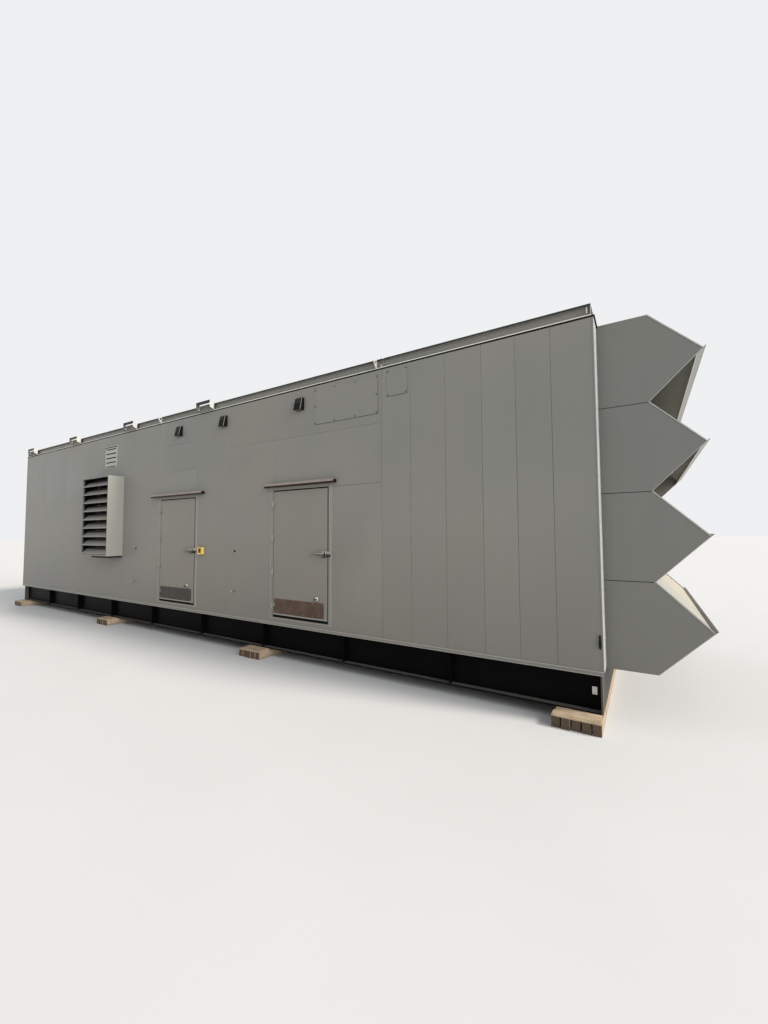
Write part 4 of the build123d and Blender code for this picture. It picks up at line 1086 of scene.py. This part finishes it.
# Hoods: the sheets, slope flanges, pale beads on the cut edges as painted highlights, joint lines and root
# flanges with screws
HOODS, SHOULDER_REACH = 4, 0.506
FLANGE_WIDTH, FLANGE_RISE, FLANGE_SHEET = 0.045, 0.013, 0.003
LIP_EDGES = ((-0.045, -0.036), (0.070, 0.079))
for end in ("front", "rear"):
    softened(f"hood_sides_{end}", f"hood_side_sheets_{end}", hood_side_shade_enamel, 0.0015)
top_sheets = softened("hood_tops", "hood_top_sheets", hood_top_enamel, 0.0015)
top_sheets.data.materials.append(hood_under_lit_enamel)
for face in top_sheets.data.polygons:
    face.material_index = int(face.normal.z < -0.2)
softened("hood_lips", "hood_lip_strips", hood_enamel, 0.0008)
hood_front, tip_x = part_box("hood_sides_front")[0].y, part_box("hood_sides_front")[1].x
hood_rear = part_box("hood_sides_rear")[1].y
HOOD_EDGES = ((hood_front, 1), (hood_rear, -1))
# Each slope has three sheets, and the front one is greyer, with less dust
sheet_joints = (hood_front + 0.050, -0.520, 0.790, hood_rear - 0.050)
module = (wall_top - wall_base) / HOODS
shoulder_x = wall_right + SHOULDER_REACH
run, fall = tip_x - shoulder_x, module / 2
slope_length = math.hypot(run, fall)


def slope_side(corner, down, off):
    """A side for plates that lie on a hood's slope: along Y, off the slope and down it."""
    def side(along, out, distance):
        place = corner + down * distance + off * out
        return Vector((place.x, along, place.z))
    return side


slope_flanges, front_slope_sheets, dusty_sunlit_sheets, beads, under_beads, joint_lines = (bmesh.new() for _ in range(6))
for index in range(HOODS):
    shoulder = Vector((shoulder_x, 0, wall_top - index * module))
    slope = slope_side(shoulder, Vector((run, 0, -fall)).normalized(), Vector((fall, 0, run)).normalized())
    under = slope_side(Vector((tip_x, 0, shoulder.z - fall)), Vector((-run, 0, -fall)).normalized(),
                       Vector((fall, 0, -run)).normalized())
    for number, (start, end) in enumerate(pairs(sheet_joints)):
        plate(dusty_sunlit_sheets if number else front_slope_sheets, slope, (start + 0.003, end - 0.003),
              (0.016, slope_length - 0.004), (-0.0005, 0.0028), (), 0.001, tones.uniform(-0.5, 0.5))
    for lip in LIP_EDGES:
        plate(under_beads, under, (hood_front + 0.002, hood_rear - 0.002), lip, (0.003, 0.0075), (), 0.001)
    for edge_y, inward in HOOD_EDGES:
        tuck_y = edge_y + inward * FLANGE_WIDTH
        fold = ((edge_y, -0.004), (edge_y, FLANGE_RISE), (tuck_y, FLANGE_RISE), (tuck_y, 0.001))
        drawn(slope_flanges, thickened(fold, FLANGE_SHEET * inward), 0.016, slope_length - 0.002, slope)
        plate(beads, slope, sorted((edge_y - inward * 0.003, edge_y + inward * 0.009)),
              (0.006, slope_length - 0.003), (0.003, FLANGE_RISE + 0.002), (), 0.003)
        plate(under_beads, under, sorted((edge_y - inward * 0.0015, edge_y + inward * 0.006)),
              (0.006, slope_length - 0.006), (-0.002, 0.004), (), 0.001)
    if index:
        joint_xs = (wall_right + 0.004, shoulder_x - 0.006)
        for box in both_walls(joint_xs, (-0.0012, 0.002), around(shoulder.z, 0.003), HOOD_EDGES):
            block(joint_lines, *box)
finish_piece("hood_slope_flanges", slope_flanges, hood_enamel, edge=0.0008, rounds=1)
# The edge beads and under beads are pale as painted highlights
for name, bm, finish in (("hood_sheets_washed", front_slope_sheets, front_sheet_enamel),
                         ("hood_sheets_dusty", dusty_sunlit_sheets, hood_top_enamel),
                         ("hood_edge_beads", beads, hood_bead_enamel),
                         ("hood_under_beads", under_beads, sunlit_pale_enamel)):
    finish_piece(name, bm, finish, smooth=True)
finish_piece("hood_joint_lines", joint_lines, joint_black)
ROOT_SHEET = 0.0025
piece("hood_root_flanges", hood_enamel, block,
      *both_walls((wall_right - 0.001, wall_right + ROOT_SHEET), (0, -0.035),
                  (wall_base + 0.004, wall_top - 0.004), HOOD_EDGES), edge=0.0006, rounds=1)
screw_levels = pitched(wall_base + 0.10, wall_top - 0.05)
piece("hood_root_screws", zinc, hex_screw,
      *(((wall_right + ROOT_SHEET, edge_y - inward * 0.018, level), (1, 0, 0), 0.007)
        for edge_y, inward in HOOD_EDGES for level in screw_levels), smooth=True)

# Rail, brackets and eyes
for end in ("front", "rear"):
    softened(f"rail_{end}", f"rail_channel_{end}", grey_enamel, 0.0018)
# The rail ends' faces that look along X take the dark enamel as painted shade
softened("rail_ends", "rail_channel_ends", grey_enamel, 0.0018, ends=(shade_enamel, 0))
BRACKETS, BRACKET_LENGTH, BRACKET_LIP, BRACKET_PLATE, BACK_DEPTH = 4, 0.444, 0.050, 0.016, 0.090
# The bracket frames are near black as painted shade
brackets = softened("roof_brackets", "bracket_frames", bracket_shade_enamel, 0.004, 3)
bracket_low, bracket_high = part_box("roof_brackets")
bracket_lefts = evenly(bracket_low.x, bracket_high.x - BRACKET_LENGTH, BRACKETS)
for extra in (sunlit_pale_enamel, grey_enamel, slate_shade_enamel):
    brackets.data.materials.append(extra)
PALE, GREY, SLATE = 1, 2, 3
# Face by face: outer end faces pale as painted sunlight, inner end faces grey, nose faces slate as painted
# shade
SAME_FACE = 0.003
for face in brackets.data.polygons:
    outer = any(abs(face.center.x - left - BRACKET_LENGTH) < SAME_FACE for left in bracket_lefts)
    inner = any(abs(face.center.x - left - BRACKET_PLATE) < SAME_FACE for left in bracket_lefts)
    near_nose = min(face.center.y - bracket_low.y, bracket_high.y - face.center.y) < SAME_FACE
    if face.normal.x > 0.8 and (outer or inner):
        face.material_index = PALE if outer else GREY
    elif abs(face.normal.y) > 0.8:
        face.material_index = SLATE if near_nose else GREY
NOSES = ((bracket_low.y, 1), (bracket_high.y, -1))
lip_foot = bracket_high.z - BRACKET_LIP
highlight_bars, stiffeners = bmesh.new(), []
for left in bracket_lefts:
    stiffener_xs = (left + 0.120, left + BRACKET_LENGTH - 0.0005)
    stiffeners += both_walls(stiffener_xs, (0.0005, 0.010), (lip_foot - 0.018, lip_foot + 0.002), NOSES)
    for box in both_walls(stiffener_xs, (-0.004, 0.012), (lip_foot - 0.044, lip_foot - 0.018), NOSES):
        block(highlight_bars, *box)
    for nose_y, inward in NOSES:
        leg = [Vector((nose_y + inward * (BACK_DEPTH - out), bracket_high.z - down)) for out, down in
               ((0.0, 0.024), (0.014, 0.024), (0.044, 0.150), (0.026, 0.150))]
        drawn(highlight_bars, leg, left + BRACKET_PLATE - 0.0005, left + BRACKET_PLATE + 0.004, along_x)
# White bars at the bracket edges: painted highlights
finish_piece("bracket_edge_bars", highlight_bars, highlight_bar_enamel, edge=0.001)
# Slate strips below the bracket lips: painted shade
piece("bracket_lip_stiffeners", slate_shade_enamel, block, *stiffeners, edge=0.001)
# The lifting eyes are pale as painted sunlight
softened("lifting_eyes", "lifting_eye_rings", sunlit_pale_enamel, 0.004, 3)

rail_low, rail_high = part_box("rail_front")
BOLT_PLACES, SPLICE_PLACES = (2.790, 4.590, 6.120, 8.770, 10.550), (2.855, 8.400, 13.900)
SPLICE_HALF, SPLICE_BACK, SPLICE_FACE = 0.10, 0.042, 0.036
# Slate strips along the rail's top flange: painted shade under it
piece("rail_top_edges", slate_shade_enamel, block,
      *both_walls((rail_low.x, rail_high.x), (0.006, -0.002), (rail_high.z - 0.018, rail_high.z + 0.0005)),
      edge=0.0015)
piece("rail_bolts", dull_screw, hex_screw,
      *(((from_right(place) + gap, face + inward * 0.020, rail_high.z), UP, 0.012)
        for place in BOLT_PLACES for face, inward in LONG_WALLS for gap in (-0.035, 0.035)),
      *(((from_right(place) + gap, face + inward * SPLICE_FACE, rail_low.z + rise), (0, -inward, 0), 0.009)
        for place in SPLICE_PLACES for face, inward in LONG_WALLS
        for gap in (-0.075, -0.030, 0.030, 0.075) for rise in (0.045, 0.095)), smooth=True)
splice_zs = (rail_low.z + 0.018, rail_high.z - 0.018)
splice_spans = [around(from_right(place), SPLICE_HALF) for place in SPLICE_PLACES]
piece("rail_splice_plates", grey_enamel, block,
      *(box for xs in splice_spans for box in both_walls(xs, (SPLICE_BACK, SPLICE_FACE), splice_zs)),
      edge=0.001)
piece("rail_studs", zinc, turned,
      ((from_right(1.266), wall_front + 0.020, rail_high.z - 0.001), UP,
       ((0.012, 0.0), (0.012, 0.006), (0.006, 0.007), (0.006, 0.040), (0.004, 0.043)), 14),
      ((from_right(2.855), wall_front + 0.014, rail_high.z - 0.001), UP,
       ((0.016, 0.0), (0.016, 0.016), (0.013, 0.024), (0.006, 0.028)), 14), smooth=True)
# Pale clips and tabs on the rail: painted sunlight
piece("rail_splice_clips", sunlit_pale_enamel, block,
      *(box for xs, zs in (((from_right(2.873), from_right(2.853)), (wall_top - 0.004, wall_top + 0.046)),
                           ((wall_right - 0.072, wall_right - 0.056), (wall_top + 0.030, wall_top + 0.100)))
        for box in both_walls(xs, (0.002, -0.009), zs)), edge=0.003)

# Black strap tied round the front corner's foot
piece("corner_tie", black_rubber, turned,
      ((wall_right - 0.028, wall_front - 0.008, above_base(0.290)), UP,
       ((0.006, 0.0), (0.012, 0.012), (0.014, 0.075), (0.009, 0.110), (0.011, 0.140), (0.005, 0.152)), 12),
      smooth=True)

# Skid, with the ground pad on its front beam
for node, name in (("skid_beam_front", "skid_beam_steel_front"), ("skid_beam_rear", "skid_beam_steel_rear"),
                   ("skid_cross_beams", "skid_cross_steel")):
    softened(node, name, skid_black, 0.002)
# The end plates' sandy film is a painted reflection of the sunlit ground
softened("skid_end_plates", "skid_end_steel", skid_end_reflection, 0.002)
beam_low, beam_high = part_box("skid_beam_front")
web_face = (beam_low.y + beam_high.y) / 2 - 0.007
pad_face = web_face - 0.010
piece("ground_pad", zinc, block, ((from_right(0.135), from_right(0.082)), (pad_face, web_face + 0.001),
                                  (above_base(-0.255), above_base(-0.167))), edge=0.002)
screwed("ground_pad_bolts", hardware_steel, (from_right(0.1085),), pad_face,
        (above_base(-0.236), above_base(-0.190)), 0.010, hex_screw)

# Timber cribs: sawn timbers with wandering faces, and packing boards
CRIBS, TIMBERS, TIMBER_WIDTH, TIMBER_GAP = 4, 5, 0.089, 0.015
BOARDS, BOARD_RUN = 3, 0.450
sawyer = random.Random(5)


def timber(bm, across, along, up, lay, arris, wander, stations, short):
    """A sawn bar between spans across, along and up, with rounded arrises and faces that wander over its
    stations. Each end is up to short of the span."""
    layer = tone_layer(bm)
    tone = sawyer.uniform(-0.5, 0.5)
    middle = Vector((sum(across) / 2, sum(up) / 2))
    outline = []
    for edge, level, turn in ((0, 0, 180), (1, 0, 270), (1, 1, 0), (0, 1, 90)):
        centre = Vector((across[edge] + arris * (1 - 2 * edge), up[level] + arris * (1 - 2 * level)))
        for angle in (turn, turn + 45, turn + 90):
            swing = Vector((math.cos(math.radians(angle)), math.sin(math.radians(angle))))
            outline.append(centre + swing * arris)
    start, end = along[0] + sawyer.uniform(0.0, short), along[1] - sawyer.uniform(0.0, short)
    rings = []
    for distance in evenly(start, end, stations + 1):
        ring = []
        for point in outline:
            drift = abs(math.sin(distance * 2.3 + tone * 40 + point.x * 50)) * wander
            drift += sawyer.uniform(0.0, wander * 0.35)
            held = point.y >= middle.y
            spot = point + (middle - point).normalized() * drift * held
            vert = bm.verts.new(lay(spot.x, spot.y, distance))
            vert[layer] = tone
            ring.append(vert)
        rings.append(ring)
    skinned(bm, rings)


crib_low, crib_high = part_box("crib_timbers")
board_low, board_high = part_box("crib_packing")
crib_width = TIMBERS * TIMBER_WIDTH + (TIMBERS - 1) * TIMBER_GAP
crib_bars, crib_boards = bmesh.new(), bmesh.new()
for crib_x in evenly(crib_low.x, crib_high.x - crib_width, CRIBS):
    for index in range(TIMBERS):
        bar_x = crib_x + index * (TIMBER_WIDTH + TIMBER_GAP)
        timber(crib_bars, (bar_x, bar_x + TIMBER_WIDTH), (crib_low.y, crib_high.y), (crib_low.z, crib_high.z),
               along_y, arris=0.004, wander=0.002, stations=30, short=0.018)
    for boards_y in (board_low.y, board_high.y - BOARD_RUN):
        for start, end in pairs(evenly(boards_y, boards_y + BOARD_RUN, BOARDS + 1)):
            timber(crib_boards, (start + 0.001, end - 0.001), (crib_x, crib_x + crib_width),
                   (board_low.z, board_high.z), along_x, arris=0.0025, wander=0.0012, stations=9,
                   short=0.022)
finish_piece("crib_timber_bars", crib_bars, crib_wood, smooth=True, ends=(crib_ends, 1),
             replaces=["crib_timbers"])
finish_piece("crib_packing_boards", crib_boards, board_wood, smooth=True, replaces=["crib_packing"])

# Floor of the studio, backdrop, lamps and camera
FLOOR_HALF, FLOOR_DROP = 260.0, -0.0005
studio = bmesh.new()
studio.faces.new([studio.verts.new((x * FLOOR_HALF, y * FLOOR_HALF, FLOOR_DROP))
                  for x, y in ((-1, -1), (1, -1), (1, 1), (-1, 1))])
floor_finish = Finish("pale_studio_floor")
mottle = floor_finish.noise(0.6, 3)
floor_tint = floor_finish.shaded((0.60, 0.595, 0.585), 0.97 + mottle * 0.06)
floor_paint = floor_finish.wear(floor_tint, mottle.span(0.3, 0.7, 0.75, 0.85))
finish_piece("studio_floor", studio, floor_paint, body=None)

# The backdrop is what the camera, mirrors and glass see. The lighting is what reaches everything else.
world = bpy.data.worlds.new("studio")
bpy.context.scene.world = world
world.use_nodes = True
tree = world.node_tree
tree.nodes.clear()
paths, seen, through, lighting, backdrop, choose, world_output = (
    tree.nodes.new(f"ShaderNode{kind}") for kind in
    ("LightPath", "Math", "Math", "Background", "Background", "MixShader", "OutputWorld"))
for sky, colour, strength in ((lighting, (0.93, 0.96, 1.0, 1), 0.60), (backdrop, (0.86, 0.87, 0.88, 1), 1.0)):
    sky.inputs["Color"].default_value = colour
    sky.inputs["Strength"].default_value = strength
for either in (seen, through):
    either.operation = "MAXIMUM"
for start, socket, end, number in (
        (paths, "Is Camera Ray", seen, 0), (paths, "Is Glossy Ray", seen, 1), (seen, 0, through, 0),
        (paths, "Is Transmission Ray", through, 1), (through, 0, choose, 0), (lighting, 0, choose, 1),
        (backdrop, 0, choose, 2), (choose, 0, world_output, 0)):
    tree.links.new(start.outputs[socket], end.inputs[number])


def sun(name, place, strength, colour, spread):
    """A sun that shines from a place to the middle of the part."""
    lamp = bpy.data.lights.new(name, "SUN")
    lamp.energy = strength
    lamp.color = colour
    lamp.angle = math.radians(spread)
    holder = bpy.data.objects.new(name, lamp)
    holder.location = place
    holder.rotation_euler = (-Vector(place)).to_track_quat("-Z", "Y").to_euler()
    bpy.context.scene.collection.objects.link(holder)


sun("key_sun", (7.5, 1.2, 6.6), 3.0, (1.0, 0.955, 0.88), 12)
sun("side_sky", (9.6, -1.8, 2.6), 3.1, (0.98, 0.99, 1.0), 50)

SENSOR, FOCAL_PIXELS, IMAGE_HEIGHT = 36.0, 417.03, 1024
TURN_LEFT, TILT_UP, ROLL = math.radians(31.907), math.radians(2.955), math.radians(0.270)
camera = bpy.data.cameras.new("camera")
camera.sensor_width = SENSOR
camera.sensor_fit = "AUTO"
camera.lens = FOCAL_PIXELS * SENSOR / IMAGE_HEIGHT
camera.clip_start = 0.1
camera.clip_end = 1000
camera_holder = bpy.data.objects.new("camera", camera)
camera_place = Matrix.Translation((wall_right + 0.4204, wall_front - 5.2132, wall_base + 1.5736))
for angle, axis in ((TURN_LEFT, "Z"), (math.pi / 2 + TILT_UP, "X"), (-ROLL, "Z")):
    camera_place = camera_place @ Matrix.Rotation(angle, 4, axis)
camera_holder.matrix_world = camera_place
bpy.context.scene.collection.objects.link(camera_holder)
bpy.context.scene.camera = camera_holder
bpy.context.scene.view_settings.view_transform = "Standard"
